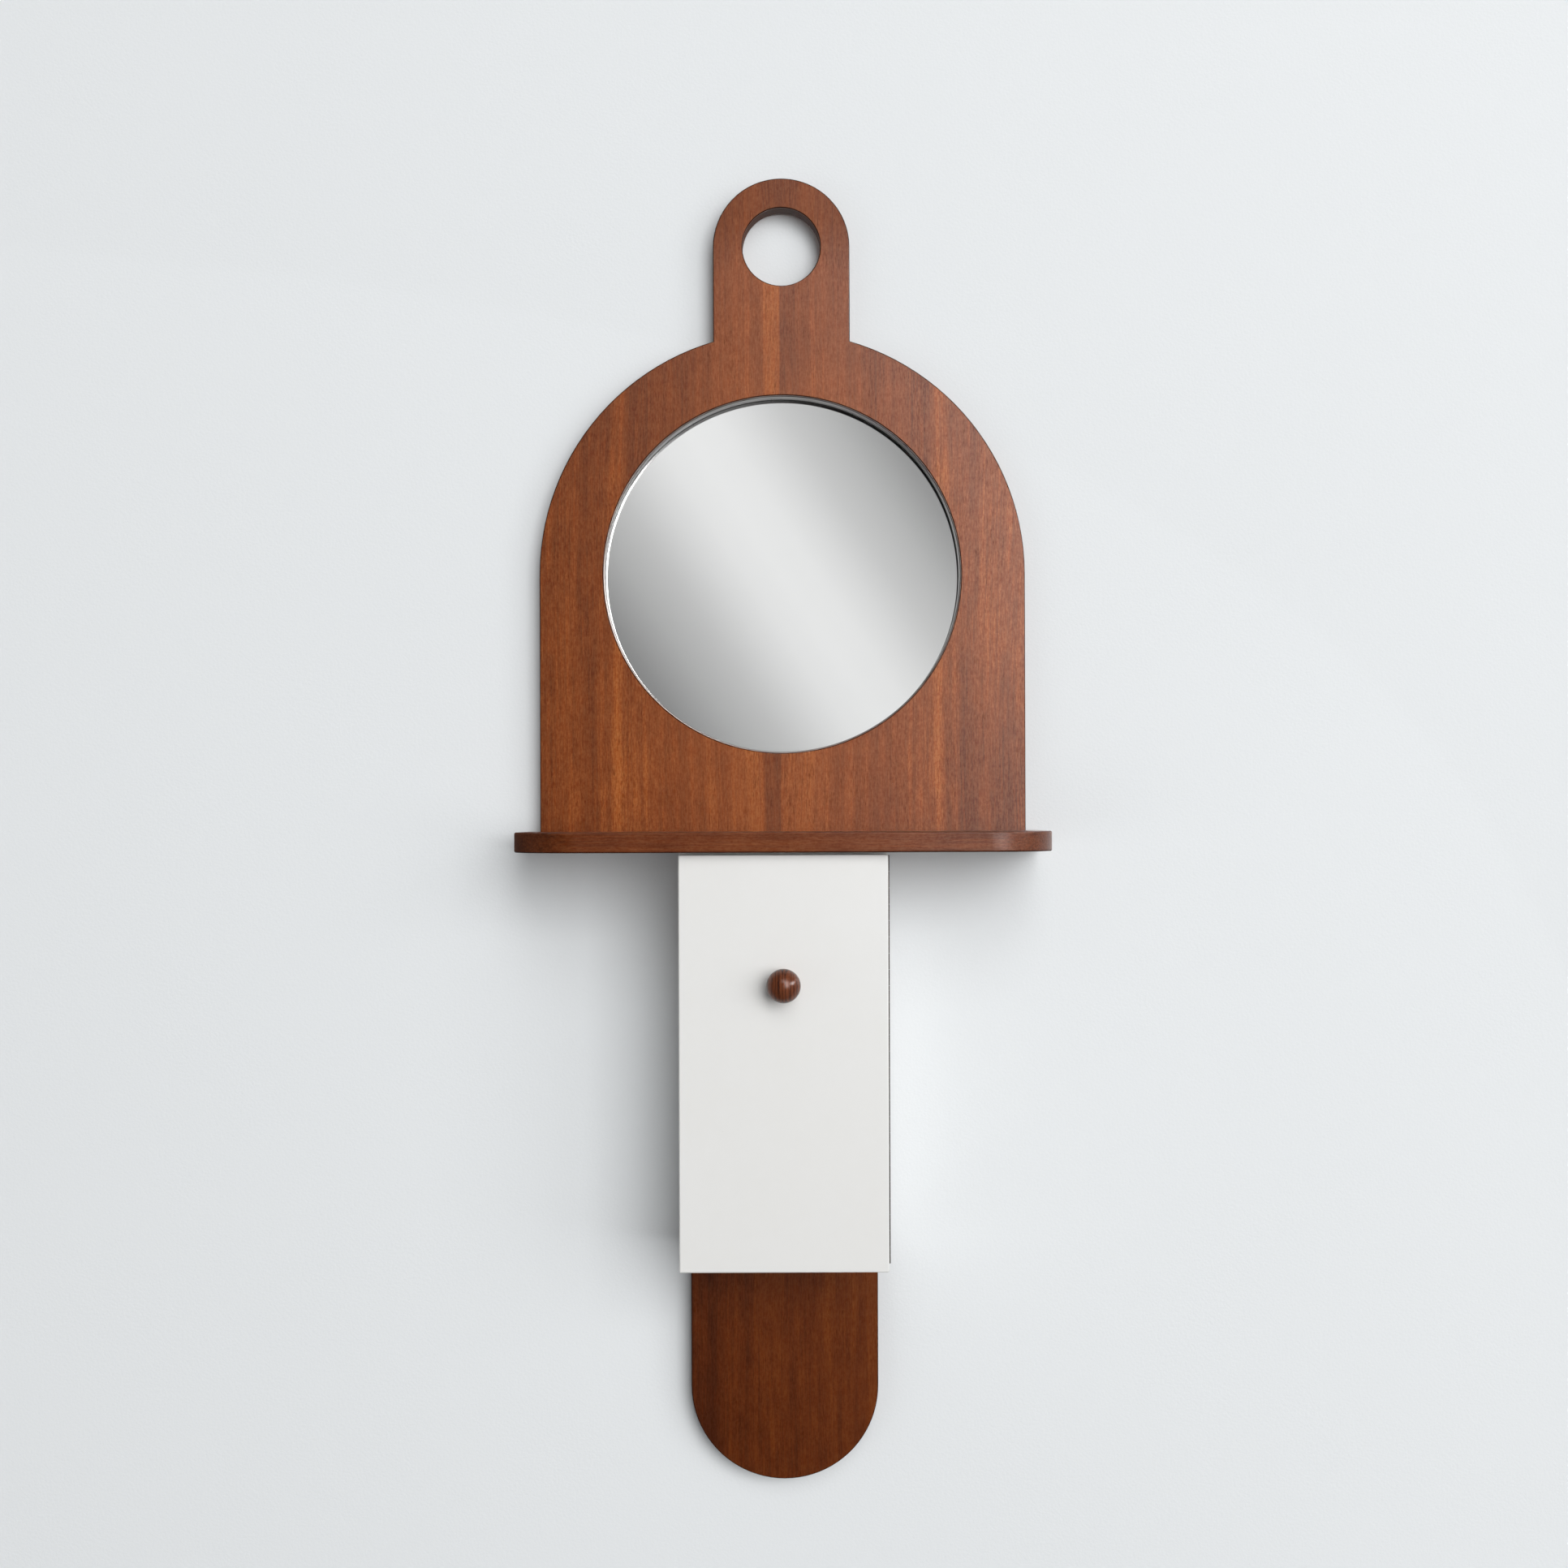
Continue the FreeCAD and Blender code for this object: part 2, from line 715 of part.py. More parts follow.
def make_side(side):
    outer = side * cabinet_width / 2
    inner = side * side_inner_x
    board = block((outer, inner), (cabinet_front_y, board_front_y), (cabinet_bottom_z, shelf_bottom_z))
    board = ease_edges(board, cabinet_ease, lambda edge: lies_at_y(edge, cabinet_front_y))
    rebate = block((side * (side_inner_x - overrun), side * (side_inner_x + back_lap)),
                   (board_front_y - cabinet_back_thickness, board_front_y + overrun),
                   (cabinet_bottom_z - overrun, shelf_bottom_z + overrun))
    cuts = [rebate] + cabinet_dowels(dowel_slack) + shelf_pins(pin_slack)
    cuts += hinge_screws_frame(sunk_hole) if side > 0 else catch_screws(sunk_hole)
    return board.cut(cuts)


def make_level_board(z_span):
    board = block((-side_inner_x, side_inner_x), (cabinet_front_y, board_front_y - cabinet_back_thickness),
                  z_span)
    board = ease_edges(board, cabinet_ease, lambda edge: lies_at_y(edge, cabinet_front_y)
                       and edge.BoundBox.XLength > cabinet_wall)
    return board.cut(cabinet_dowels(dowel_slack) + cabinet_top_screws(sunk_hole))


def make_cabinet_back():
    half = side_inner_x + back_lap
    board = block((-half, half), (board_front_y - cabinet_back_thickness, board_front_y),
                  (cabinet_bottom_z, shelf_bottom_z))
    return board.cut(cabinet_back_screws(sunk_hole) + wall_screw_holes())


def make_inner_shelf():
    half = side_inner_x - inner_shelf_slack
    low = inner_shelf_bottom()
    board = block((-half, half), (cabinet_front_y + inner_shelf_setback,
                                  board_front_y - cabinet_back_thickness - inner_shelf_slack),
                  (low, low + inner_shelf_thickness))
    ease = min(cabinet_ease, inner_shelf_thickness / 4)
    return ease_edges(board, ease, lambda edge: lies_at_y(edge, cabinet_front_y + inner_shelf_setback))


# Door, knob and what they carry

def make_door():
    half = cabinet_width / 2
    door = block((-half, half), (door_front_y, door_back_y), (cabinet_bottom_z, door_top_z))
    door = door.makeFillet(min(door_ease, door_thickness / 4), door.Edges)
    cuts = [rod(knob_screw_radius + knob_screw_slack, (0, door_back_y + overrun, knob_z), front,
                door_thickness + 2 * overrun)]
    cuts += hinge_screws_door(sunk_hole)
    cuts += strike_screws(sunk_hole)
    return door.cut(cuts)


def make_knob():
    radius = knob_diameter / 2
    centre = (0, door_front_y - knob_stand_off - radius, knob_z)
    ball = Part.makeSphere(radius, vec(centre))
    neck = rod(knob_neck_radius, (0, door_front_y, knob_z), front, knob_stand_off + radius)
    knob = ball.fuse(neck)
    hole = rod(knob_screw_radius + screw_slack, (0, door_front_y + overrun, knob_z), front,
               knob_screw_grip + overrun + screw_slack)
    return knob.cut(hole)


def make_knob_screw():
    start = (0, door_back_y + washer_thickness, knob_z)
    length = washer_thickness + door_thickness + knob_screw_grip
    return pan_screw(knob_head_radius, knob_head_height, knob_screw_radius, length, start, front)


def make_washer():
    outer = rod(washer_radius, (0, door_back_y + washer_thickness, knob_z), front, washer_thickness)
    inner = rod(knob_screw_radius + knob_screw_slack, (0, door_back_y + washer_thickness + overrun, knob_z),
                front, washer_thickness + 2 * overrun)
    return outer.cut(inner)


# Continuous hinge

def hinge_screw_heights():
    length = hinge_top_z - hinge_bottom_z
    first = hinge_bottom_z + length * hinge_screw_end_share
    step = length * (1 - 2 * hinge_screw_end_share) / (hinge_screw_count - 1)
    return [first + step * number for number in range(hinge_screw_count)]


def hinge_screw_x():
    return side_inner_x + cabinet_wall / 2


def hinge_screws_frame(maker):
    y = cabinet_front_y - leaf_thickness
    return [maker(hinge_screw_head_radius, hinge_screw_radius, hinge_screw_length,
                  (hinge_screw_x(), y, z), rear) for z in hinge_screw_heights()]


def hinge_screws_door(maker):
    y = door_back_y + leaf_thickness
    return [maker(hinge_screw_head_radius, hinge_screw_radius, hinge_screw_length,
                  (hinge_screw_x(), y, z), front) for z in hinge_screw_heights()]


def make_leaf(first, outer_y, inner_y, screws):
    # A plate whose every second knuckle is rolled round the pin
    pitch = (hinge_top_z - hinge_bottom_z) / knuckle_count
    edge_x = hinge_x - knuckle_radius - knuckle_clearance
    leaf = block((hinge_x - leaf_width, edge_x), (outer_y, inner_y), (hinge_bottom_z, hinge_top_z))
    rolls = []
    for number in range(first, knuckle_count, 2):
        low = hinge_bottom_z + pitch * number + (knuckle_gap / 2 if number else 0)
        last = number == knuckle_count - 1
        high = hinge_bottom_z + pitch * (number + 1) - (0 if last else knuckle_gap / 2)
        roll = rod(knuckle_radius, (hinge_x, hinge_y, low), up, high - low)
        strap = block((edge_x - leaf_thickness, hinge_x), (outer_y, inner_y), (low, high))
        rolls += [roll, strap]
    bore = rod(hinge_pin_radius + hinge_running_slack, (hinge_x, hinge_y, hinge_bottom_z - overrun), up,
               hinge_top_z - hinge_bottom_z + 2 * overrun)
    return leaf.fuse(rolls).removeSplitter().cut([bore] + screws)


def make_hinge_pin():
    return rod(hinge_pin_radius, (hinge_x, hinge_y, hinge_bottom_z), up, hinge_top_z - hinge_bottom_z)


# Magnetic catch

def catch_front_y():
    return cabinet_front_y + catch_setback


def catch_screws(maker):
    y = catch_front_y() + catch_depth / 2
    offset = (catch_height + catch_body_height) / 4
    return [maker(catch_screw_head_radius, catch_screw_radius, catch_screw_length,
                  (-side_inner_x + catch_flange, y, knob_z + side * offset), left) for side in (-1, 1)]


def magnet_pack(grow):
    # Room for the magnet and the two steel plates on either side of it
    middle_x = -side_inner_x + catch_reach / 2
    half_pack = magnet_thickness / 2 + pole_thickness + grow
    return block((middle_x - half_pack, middle_x + half_pack),
                 (catch_front_y() - overrun, catch_front_y() + magnet_depth + grow),
                 (knob_z - magnet_height / 2 - grow, knob_z + magnet_height / 2 + grow))


def make_catch_body():
    x_low = -side_inner_x
    half_body = catch_body_height / 2
    half_catch = catch_height / 2
    y_span = (catch_front_y(), catch_front_y() + catch_depth)
    body = block((x_low, x_low + catch_reach), y_span, (knob_z - half_body, knob_z + half_body))
    flange = block((x_low, x_low + catch_flange), y_span, (knob_z - half_catch, knob_z + half_catch))
    return body.fuse(flange).removeSplitter().cut([magnet_pack(magnet_slack)] + catch_screws(sunk_hole))


def make_magnet():
    middle_x = -side_inner_x + catch_reach / 2
    half = magnet_thickness / 2
    return block((middle_x - half, middle_x + half), (catch_front_y(), catch_front_y() + magnet_depth),
                 (knob_z - magnet_height / 2, knob_z + magnet_height / 2))


def make_poles():
    # Each pole reaches past the magnet almost to the strike plate
    middle_x = -side_inner_x + catch_reach / 2
    pole_front_y = door_back_y + strike_thickness + catch_gap
    poles = []
    for side in (-1, 1):
        near = middle_x + side * magnet_thickness / 2
        far = near + side * pole_thickness
        poles.append(block((near, far), (pole_front_y, catch_front_y() + magnet_depth),
                           (knob_z - magnet_height / 2, knob_z + magnet_height / 2)))
    return poles


def strike_x():
    return -side_inner_x + catch_reach / 2


def strike_screws(maker):
    y = door_back_y + strike_thickness
    offset = (strike_height + magnet_height) / 4
    return [maker(strike_screw_head_radius, strike_screw_radius, strike_screw_length,
                  (strike_x(), y, knob_z + side * offset), front) for side in (-1, 1)]


def make_strike_plate():
    plate = upright_plate(strike_x(), knob_z, strike_width, strike_height, door_back_y + strike_thickness,
                          strike_thickness, strike_corner)
    return plate.cut(strike_screws(sunk_hole))


def make_bumpers():
    x = -(side_inner_x + cabinet_wall / 2)
    length = 2 * knuckle_radius - bumper_gap
    return [rod(bumper_radius, (x, door_back_y, z), rear, length)
            for z in (door_top_z - bumper_end_gap, cabinet_bottom_z + bumper_end_gap)]


save("arch_panel", make_arch_panel())
save("mirror_liner_ring", make_liner())
save("mirror_glass", make_mirror_glass())
save("mirror_cushion", disc(glass_radius, cushion_back_y, cushion_thickness))
save("mirror_backing_board", disc(glass_radius, board_back_y, backing_thickness))
save_group("mirror_clips", make_clips())
save_group("mirror_clip_screws", make_clip_screws())
save("shelf_board", make_shelf())
save_group("panel_dowels", vertical_dowels(panel_dowel_places, up))
save_group("panel_screws", board_screws(panel_screw_places, up, sunk_screw))
save("tail_board", make_tail_board())
save_group("tail_dowels", vertical_dowels(tail_dowel_places, down))
save_group("tail_screws", board_screws(tail_screw_places, down, sunk_screw))
save_group("joining_plates", make_joining_plates())
save_group("joining_plate_screws", plate_screws(sunk_screw))
save_group("hanger_plates", make_hanger_plates())
save_group("hanger_screws", hanger_screws(sunk_screw))
save_group("wall_pads", make_wall_pads())
save("cabinet_side_left", make_side(-1))
save("cabinet_side_right", make_side(1))
save("cabinet_top", make_level_board((shelf_bottom_z - cabinet_wall, shelf_bottom_z)))
save("cabinet_bottom", make_level_board((cabinet_bottom_z, cabinet_bottom_z + cabinet_wall)))
save("cabinet_back", make_cabinet_back())
save_group("cabinet_dowels", cabinet_dowels())
save_group("cabinet_back_screws", cabinet_back_screws(sunk_screw))
save_group("cabinet_top_screws", cabinet_top_screws(sunk_screw))
save("inner_shelf", make_inner_shelf())
save_group("shelf_pins", shelf_pins())
save("door_panel", make_door())
save("door_knob", make_knob())
save("knob_screw", make_knob_screw())
save("knob_washer", make_washer())
save("hinge_leaf_frame", make_leaf(0, cabinet_front_y, cabinet_front_y - leaf_thickness,
                                   hinge_screws_frame(sunk_hole)))
save("hinge_leaf_door", make_leaf(1, door_back_y, door_back_y + leaf_thickness,
                                  hinge_screws_door(sunk_hole)))
save("hinge_pin", make_hinge_pin())
save_group("hinge_screws_frame", hinge_screws_frame(sunk_screw))
save_group("hinge_screws_door", hinge_screws_door(sunk_screw))
save("catch_body", make_catch_body())
save("catch_magnet", make_magnet())
save_group("catch_poles", make_poles())
save_group("catch_screws", catch_screws(sunk_screw))
save("strike_plate", make_strike_plate())
save_group("strike_screws", strike_screws(sunk_screw))
save_group("door_bumpers", make_bumpers())
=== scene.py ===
import bmesh
import bpy
import json
import math
import numpy as np
from mathutils import Matrix, Vector


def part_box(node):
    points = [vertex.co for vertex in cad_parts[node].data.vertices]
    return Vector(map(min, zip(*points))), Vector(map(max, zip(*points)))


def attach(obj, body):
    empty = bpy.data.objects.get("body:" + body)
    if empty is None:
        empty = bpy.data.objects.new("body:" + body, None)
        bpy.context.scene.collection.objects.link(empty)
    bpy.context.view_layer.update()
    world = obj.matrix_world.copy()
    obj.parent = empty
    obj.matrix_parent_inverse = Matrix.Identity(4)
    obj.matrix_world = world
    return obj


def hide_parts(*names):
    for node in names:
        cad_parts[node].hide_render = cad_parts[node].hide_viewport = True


# Looks of the wall cabinet with mirror. Metres, +Z up, the wall is y = 0 and the front faces -Y.
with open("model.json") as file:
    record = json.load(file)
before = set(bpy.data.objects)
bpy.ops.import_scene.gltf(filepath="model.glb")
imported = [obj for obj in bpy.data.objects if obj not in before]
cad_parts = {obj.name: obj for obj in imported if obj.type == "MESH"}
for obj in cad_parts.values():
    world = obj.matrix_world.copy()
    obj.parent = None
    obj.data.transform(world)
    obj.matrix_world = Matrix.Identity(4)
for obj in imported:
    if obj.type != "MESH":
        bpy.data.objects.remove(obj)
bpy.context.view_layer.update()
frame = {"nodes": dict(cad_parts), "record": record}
print("frame loaded:", len(frame["nodes"]), "nodes")


# Node helpers

def wire(tree, value, socket):
    # A socket takes another node's output as a link, and anything else as its own value
    if isinstance(value, bpy.types.NodeSocket):
        tree.links.new(value, socket)
    else:
        socket.default_value = value


def addNode(tree, kind, inputs=None, **settings):
    node = tree.nodes.new("ShaderNode" + kind)
    for key, value in settings.items():
        setattr(node, key, value)
    for key, value in (inputs or {}).items():
        wire(tree, value, node.inputs[key])
    return node


def calc(tree, operation, first, second=0.0):
    return addNode(tree, "Math", {0: first, 1: second}, operation=operation).outputs[0]


def minus(tree, first, second):
    return calc(tree, "SUBTRACT", first, second)


def oneMinus(tree, value):
    return minus(tree, 1.0, value)


def times(tree, first, *others):
    for other in others:
        first = calc(tree, "MULTIPLY", first, other)
    return first


def axesOf(tree, place):
    return addNode(tree, "SeparateXYZ", {0: place}).outputs


def cloud(tree, vector, scale, detail=2.0, roughness=0.5):
    # Noise from 0 to 1; its scale is one number, or one for each axis
    sizes = (scale,) * 3 if isinstance(scale, float) else scale
    place = addNode(tree, "VectorMath", {0: vector, 1: sizes}, operation="MULTIPLY").outputs[0]
    return addNode(tree, "TexNoise", {"Vector": place, "Scale": 1.0, "Detail": detail,
                                      "Roughness": roughness}).outputs[0]


def rise(tree, value, low, high):
    # 0 below low, 1 above high, smooth between
    settings = {"Value": value, "From Min": low, "From Max": high}
    return addNode(tree, "MapRange", settings, interpolation_type="SMOOTHSTEP").outputs[0]


def around(tree, value, amount):
    # How far a 0 to 1 noise lies from its middle, times an amount
    return times(tree, minus(tree, value, 0.5), amount)


def total(tree, *values):
    result = values[0]
    for value in values[1:]:
        result = calc(tree, "ADD", result, value)
    return result


def mixColor(tree, factor, first, second):
    return addNode(tree, "Mix", {0: factor, 6: first, 7: second}, data_type="RGBA").outputs[2]


def blend(tree, dark, light, *tones):
    # Between two colours, halfway where the tones add up to 0
    return mixColor(tree, total(tree, 0.5, *tones), rgb(dark), rgb(light))


def curve(tree, value, stops):
    # A grey ramp through (place, height) pairs
    ramp = addNode(tree, "ValToRGB", {0: value})
    marks = ramp.color_ramp.elements
    while len(marks) < len(stops):
        marks.new(1.0)
    for mark, (place, height) in zip(marks, stops):
        mark.position = place
        mark.color = (height, height, height, 1.0)
    return ramp.outputs[0]


def rgb(values):
    return (*values, 1.0)


def makeGroup(name, inputs, outputs):
    group = bpy.data.node_groups.new(name, "ShaderNodeTree")
    for label, value in inputs.items():
        kind = "Vector" if value is None else "Color" if isinstance(value, tuple) else "Float"
        socket = group.interface.new_socket(label, in_out="INPUT", socket_type="NodeSocket" + kind)
        if value is not None:
            socket.default_value = value
    for label in outputs:
        kind = "Color" if label == "Color" else "Float"
        group.interface.new_socket(label, in_out="OUTPUT", socket_type="NodeSocket" + kind)
    given = group.nodes.new("NodeGroupInput").outputs
    result = group.nodes.new("NodeGroupOutput").inputs
    return group, given, result


def useGroup(tree, group, inputs):
    node = tree.nodes.new("ShaderNodeGroup")
    node.node_tree = group
    for label, value in inputs.items():
        wire(tree, value, node.inputs[label])
    return node.outputs


def emptyTree(owner):
    owner.use_nodes = True
    owner.node_tree.nodes.clear()
    return owner.node_tree


def newMaterial(name, **sockets):
    # Principled material; what is the same all over is set on the shader's own sockets
    material = bpy.data.materials.new(name)
    tree = emptyTree(material)
    shader = tree.nodes.new("ShaderNodeBsdfPrincipled")
    output = tree.nodes.new("ShaderNodeOutputMaterial")
    tree.links.new(shader.outputs[0], output.inputs[0])
    for label, value in sockets.items():
        shader.inputs[label.replace("_", " ")].default_value = value
    return material, tree, shader.inputs


def objectPlace(tree, turn=(0.0, 0.0, 0.0), shift=(0.0, 0.0, 0.0)):
    # Object coordinates, turned so that the grain runs along Z
    place = addNode(tree, "TexCoord").outputs["Object"]
    return addNode(tree, "Mapping", {"Vector": place, "Rotation": turn, "Location": shift}).outputs[0]


def dress(tree, shader, color, roughness=None, height=None, bump=(0.0, 0.0)):
    # Wires a material's colour, roughness and bump; the bump is its strength and distance
    wire(tree, color, shader["Base Color"])
    if roughness is not None:
        wire(tree, roughness, shader["Roughness"])
    if height is not None:
        inputs = {"Height": height, "Strength": bump[0], "Distance": bump[1]}
        wire(tree, addNode(tree, "Bump", inputs).outputs[0], shader["Normal"])


# Shared effects, each a node group

# Noise of the veneer: scale per metre across the face, into it and along the grain, then detail, roughness
veneerNoise = {
    "slowWave": ((6.0, 6.0, 1.9), 1.0), "quickWave": ((34.0, 34.0, 10.0), 2.0),
    "bandFade": ((11.0, 11.0, 3.2), 1.0), "broad": ((42.0, 42.0, 1.3), 1.0),
    "ribbon": ((120.0, 120.0, 2.3), 3.0, 0.62), "fine": ((620.0, 620.0, 9.0), 2.0, 0.6),
    "blotch": ((100.0, 100.0, 34.0), 3.0, 0.6), "fleck": ((820.0, 820.0, 125.0), 2.0, 0.7),
    "speck": ((520.0, 520.0, 430.0), 2.0, 0.6), "dash": ((1300.0, 1300.0, 140.0), 1.0),
    "clump": ((60.0, 60.0, 14.0), 2.0),
}
# Brightness over a leaf of veneer, from its inner edge at 0 to its outer edge at 1
leafBands = ((0.0, 0.42), (0.05, 0.55), (0.13, 0.86), (0.21, 0.58), (0.29, 0.44), (0.42, 0.36),
             (0.51, 0.35), (0.61, 0.25), (0.65, 0.92), (0.67, 0.92), (0.70, 0.32), (0.78, 0.17),
             (0.86, 0.52), (0.93, 0.42), (1.0, 0.54))
# Zones are pairs: where the share starts to rise and where it is full. The ones in Z are panel heights.
veneerZones = {
    "seamBand": (-0.018, -0.0135), "seamLine": (-0.0008, 0.0), "right": (-0.002, 0.002),
    "outer": (0.30, 0.75), "lowZ": (0.02, 0.22), "fadeZ": (0.10, 0.35), "upperZ": (0.30, 0.52),
    "rightZ": (0.40, 0.48), "tongueZ": (0.49, 0.59), "highestZ": (0.53, 0.59), "tint": (0.22, 0.78),
    "gloss": (0.25, 0.75), "pore": (0.57, 0.70), "poreClump": (0.35, 0.62),
}
veneerShares = {
    "slowSwing": 0.034, "quickSwing": 0.0032, "seamFade": 2.1, "tongue": 1.4, "right": 0.8,
    "highest": 0.9, "middle": 0.46, "bandFade": 0.7, "grainInner": 0.82, "grainOuter": 0.40,
    "fleckInner": 0.75, "fleckOuter": 0.45, "speck": 0.6, "poreRough": 0.16, "blotchRough": 0.12,
    "fineHeight": 0.5, "glossBase": 0.78, "glossGain": 0.44, "poreGloss": 0.5,
}
fleckTints = {"dark": (0.80, 0.59, 0.32), "pale": (1.20, 1.41, 1.68)}
veneerColors = ("deep", "middle", "pale", "pore")
veneerAmounts = ("seam", "leafWidth", "waviness", "band", "broad", "ribbon", "fine", "blotch",
                 "seamShade", "fleck", "poreAmount", "paintedSideLight", "lowTone", "topShade", "flatFrom",
                 "flatTo", "flatAmount")


def buildRibbonVeneer():
    # Leaves of veneer mirrored about a seam. Tone is the leaf's broad bands, plus ribbons, fine lines
    # and short cross-grain blotches, each a noise drawn out along the grain, plus painted light and
    # shade: the side tone makes the leaves lighter towards the right and darker towards the left, and the
    # top tone darkens the upper panel and its tongue. Flecks tint it finely, and pores are thin dark
    # dashes; both break the gloss. From flatFrom to flatTo along the grain the gloss falls by the share
    # flatAmount.
    inputs = {"Vector": None, **dict.fromkeys(veneerColors, rgb((0.2, 0.1, 0.05))),
              **dict.fromkeys(veneerAmounts, 0.5)}
    group, given, result = makeGroup("ribbonVeneer", inputs, ("Color", "Roughness", "Height", "Gloss"))
    place, share = given["Vector"], veneerShares

    def noise(name, where):
        return cloud(group, where, *veneerNoise[name])

    def zone(name, value):
        return rise(group, value, *veneerZones[name])

    wave = times(group, total(group, around(group, noise("slowWave", place), share["slowSwing"]),
                              around(group, noise("quickWave", place), share["quickSwing"])),
                 given["waviness"])
    axes = axesOf(group, place)
    height = axes[2]
    fromSeam = minus(group, axes[0], given["seam"])
    across = total(group, calc(group, "ABSOLUTE", fromSeam), wave)
    leafPlace = addNode(group, "CombineXYZ", {0: across, 1: axes[1], 2: height}).outputs[0]
    leaf = calc(group, "PINGPONG", across, given["leafWidth"])
    leafEdge = calc(group, "DIVIDE", leaf, given["leafWidth"])
    band = curve(group, leafEdge, leafBands)
    fine = noise("fine", leafPlace)
    blotch = noise("blotch", leafPlace)
    outer = zone("outer", leafEdge)
    grain = total(group, around(group, noise("ribbon", leafPlace), given["ribbon"]),
                  around(group, fine, given["fine"]), around(group, blotch, given["blotch"]))

    highest = zone("highestZ", height)
    lowShare = zone("lowZ", height)
    seamShade = times(group, zone("seamBand", fromSeam), oneMinus(group, zone("seamLine", fromSeam)))
    seamFade = times(group, oneMinus(group, times(group, zone("fadeZ", height), share["seamFade"])),
                     oneMinus(group, highest))
    leafSide = calc(group, "DIVIDE", axes[0], given["leafWidth"])
    rightShare = times(group, zone("right", fromSeam), minus(group, zone("rightZ", height), highest))
    # Painted shade: with the top tone, the upper panel comes out darker, more so on the tongue, right of
    # the seam up there and at the crown
    topShare = total(group, zone("upperZ", height), times(group, zone("tongueZ", height), share["tongue"]),
                     times(group, rightShare, share["right"]), times(group, highest, share["highest"]))
    # Painted light and shade: the side tone lightens the leaves towards the right and darkens them towards
    # the left, fading out towards the bottom
    paintedSideLight = times(group, leafSide, given["paintedSideLight"], lowShare)
    lowTone = times(group, calc(group, "MAXIMUM", leafSide, 0.0), given["lowTone"],
                    oneMinus(group, lowShare))
    tone = total(group, share["middle"], around(group, band, given["band"]),
                 around(group, noise("bandFade", leafPlace), share["bandFade"]),
                 around(group, noise("broad", leafPlace), given["broad"]),
                 times(group, grain,
                       total(group, share["grainInner"], times(group, outer, share["grainOuter"]))),
                 paintedSideLight, lowTone, times(group, topShare, given["topShade"]),
                 times(group, seamShade, given["seamShade"], seamFade, -1.0))
    twice = times(group, tone, 2.0)
    lower = mixColor(group, twice, given["deep"], given["middle"])
    color = mixColor(group, minus(group, twice, 1.0), lower, given["pale"])

    fleck = total(group, noise("fleck", place), around(group, noise("speck", place), share["speck"]))
    tint = mixColor(group, zone("tint", fleck), rgb(fleckTints["dark"]), rgb(fleckTints["pale"]))
    tinted = addNode(group, "Mix", {0: 1.0, 6: color, 7: tint}, data_type="RGBA",
                     blend_type="MULTIPLY").outputs[2]
    fleckShare = times(group, given["fleck"],
                       total(group, share["fleckInner"], times(group, outer, share["fleckOuter"])))
    color = mixColor(group, fleckShare, color, tinted)
    pore = times(group, zone("pore", noise("dash", place)), zone("poreClump", noise("clump", place)))
    wire(group, mixColor(group, times(group, pore, given["poreAmount"]), color, given["pore"]),
         result["Color"])
    wire(group, total(group, times(group, pore, share["poreRough"]),
                      around(group, blotch, share["blotchRough"])), result["Roughness"])
    wire(group, total(group, times(group, pore, -1.0), around(group, fine, share["fineHeight"])),
         result["Height"])
    shiny = total(group, share["glossBase"], times(group, zone("gloss", fleck), share["glossGain"]))
    closed = oneMinus(group, times(group, pore, share["poreGloss"]))
    flat = rise(group, height, given["flatFrom"], given["flatTo"])
    flatter = oneMinus(group, times(group, flat, given["flatAmount"]))
    wire(group, times(group, shiny, closed, flatter), result["Gloss"])
    return group


edgeLook = {"lineFrom": (0.004, 0.04), "lineTo": (0.6, 0.98), "side": (1.02, 1.6), "wearScale": 55.0,
            "wearBase": 0.75, "wearGain": 0.5}


def buildStainedEdge():
    # The eased corner beside a flat face takes a dark line of stain. The depth is 0 on that face, 1 where
    # the ease ends, and more on the side behind it.
    inputs = {"Vector": None, "Face Color": rgb((0.2, 0.1, 0.05)), "Stain": rgb((0.02, 0.01, 0.005)),
              "Depth": 0.0, "Line Amount": 0.8, "Side Amount": 0.4, "Dullness": 0.8}
    group, given, result = makeGroup("stainedEdge", inputs, ("Color", "Dull"))
    wear = cloud(group, given["Vector"], edgeLook["wearScale"], 3.0)
    line = times(group, rise(group, given["Depth"], *edgeLook["lineFrom"]),
                 oneMinus(group, rise(group, given["Depth"], *edgeLook["lineTo"])))
    behind = rise(group, given["Depth"], *edgeLook["side"])
    stained = total(group, times(group, line, given["Line Amount"]),
                    times(group, behind, given["Side Amount"]))
    worn = times(group, stained,
                 total(group, edgeLook["wearBase"], times(group, wear, edgeLook["wearGain"])))
    mask = calc(group, "MINIMUM", worn, 1.0)
    wire(group, mixColor(group, mask, given["Face Color"], given["Stain"]), result["Color"])
    wire(group, calc(group, "MAXIMUM", mask, times(group, behind, given["Dullness"])), result["Dull"])
    return group


skinLook = {"slow": 90.0, "peel": 700.0, "haze": 9.0, "speckScale": 38.0, "speckSize": (0.010, 0.022),
            "speckPick": (0.90, 0.93), "slowTone": 0.3, "hazeRough": 0.10, "slowRough": 0.04,
            "peelHeight": 0.35}


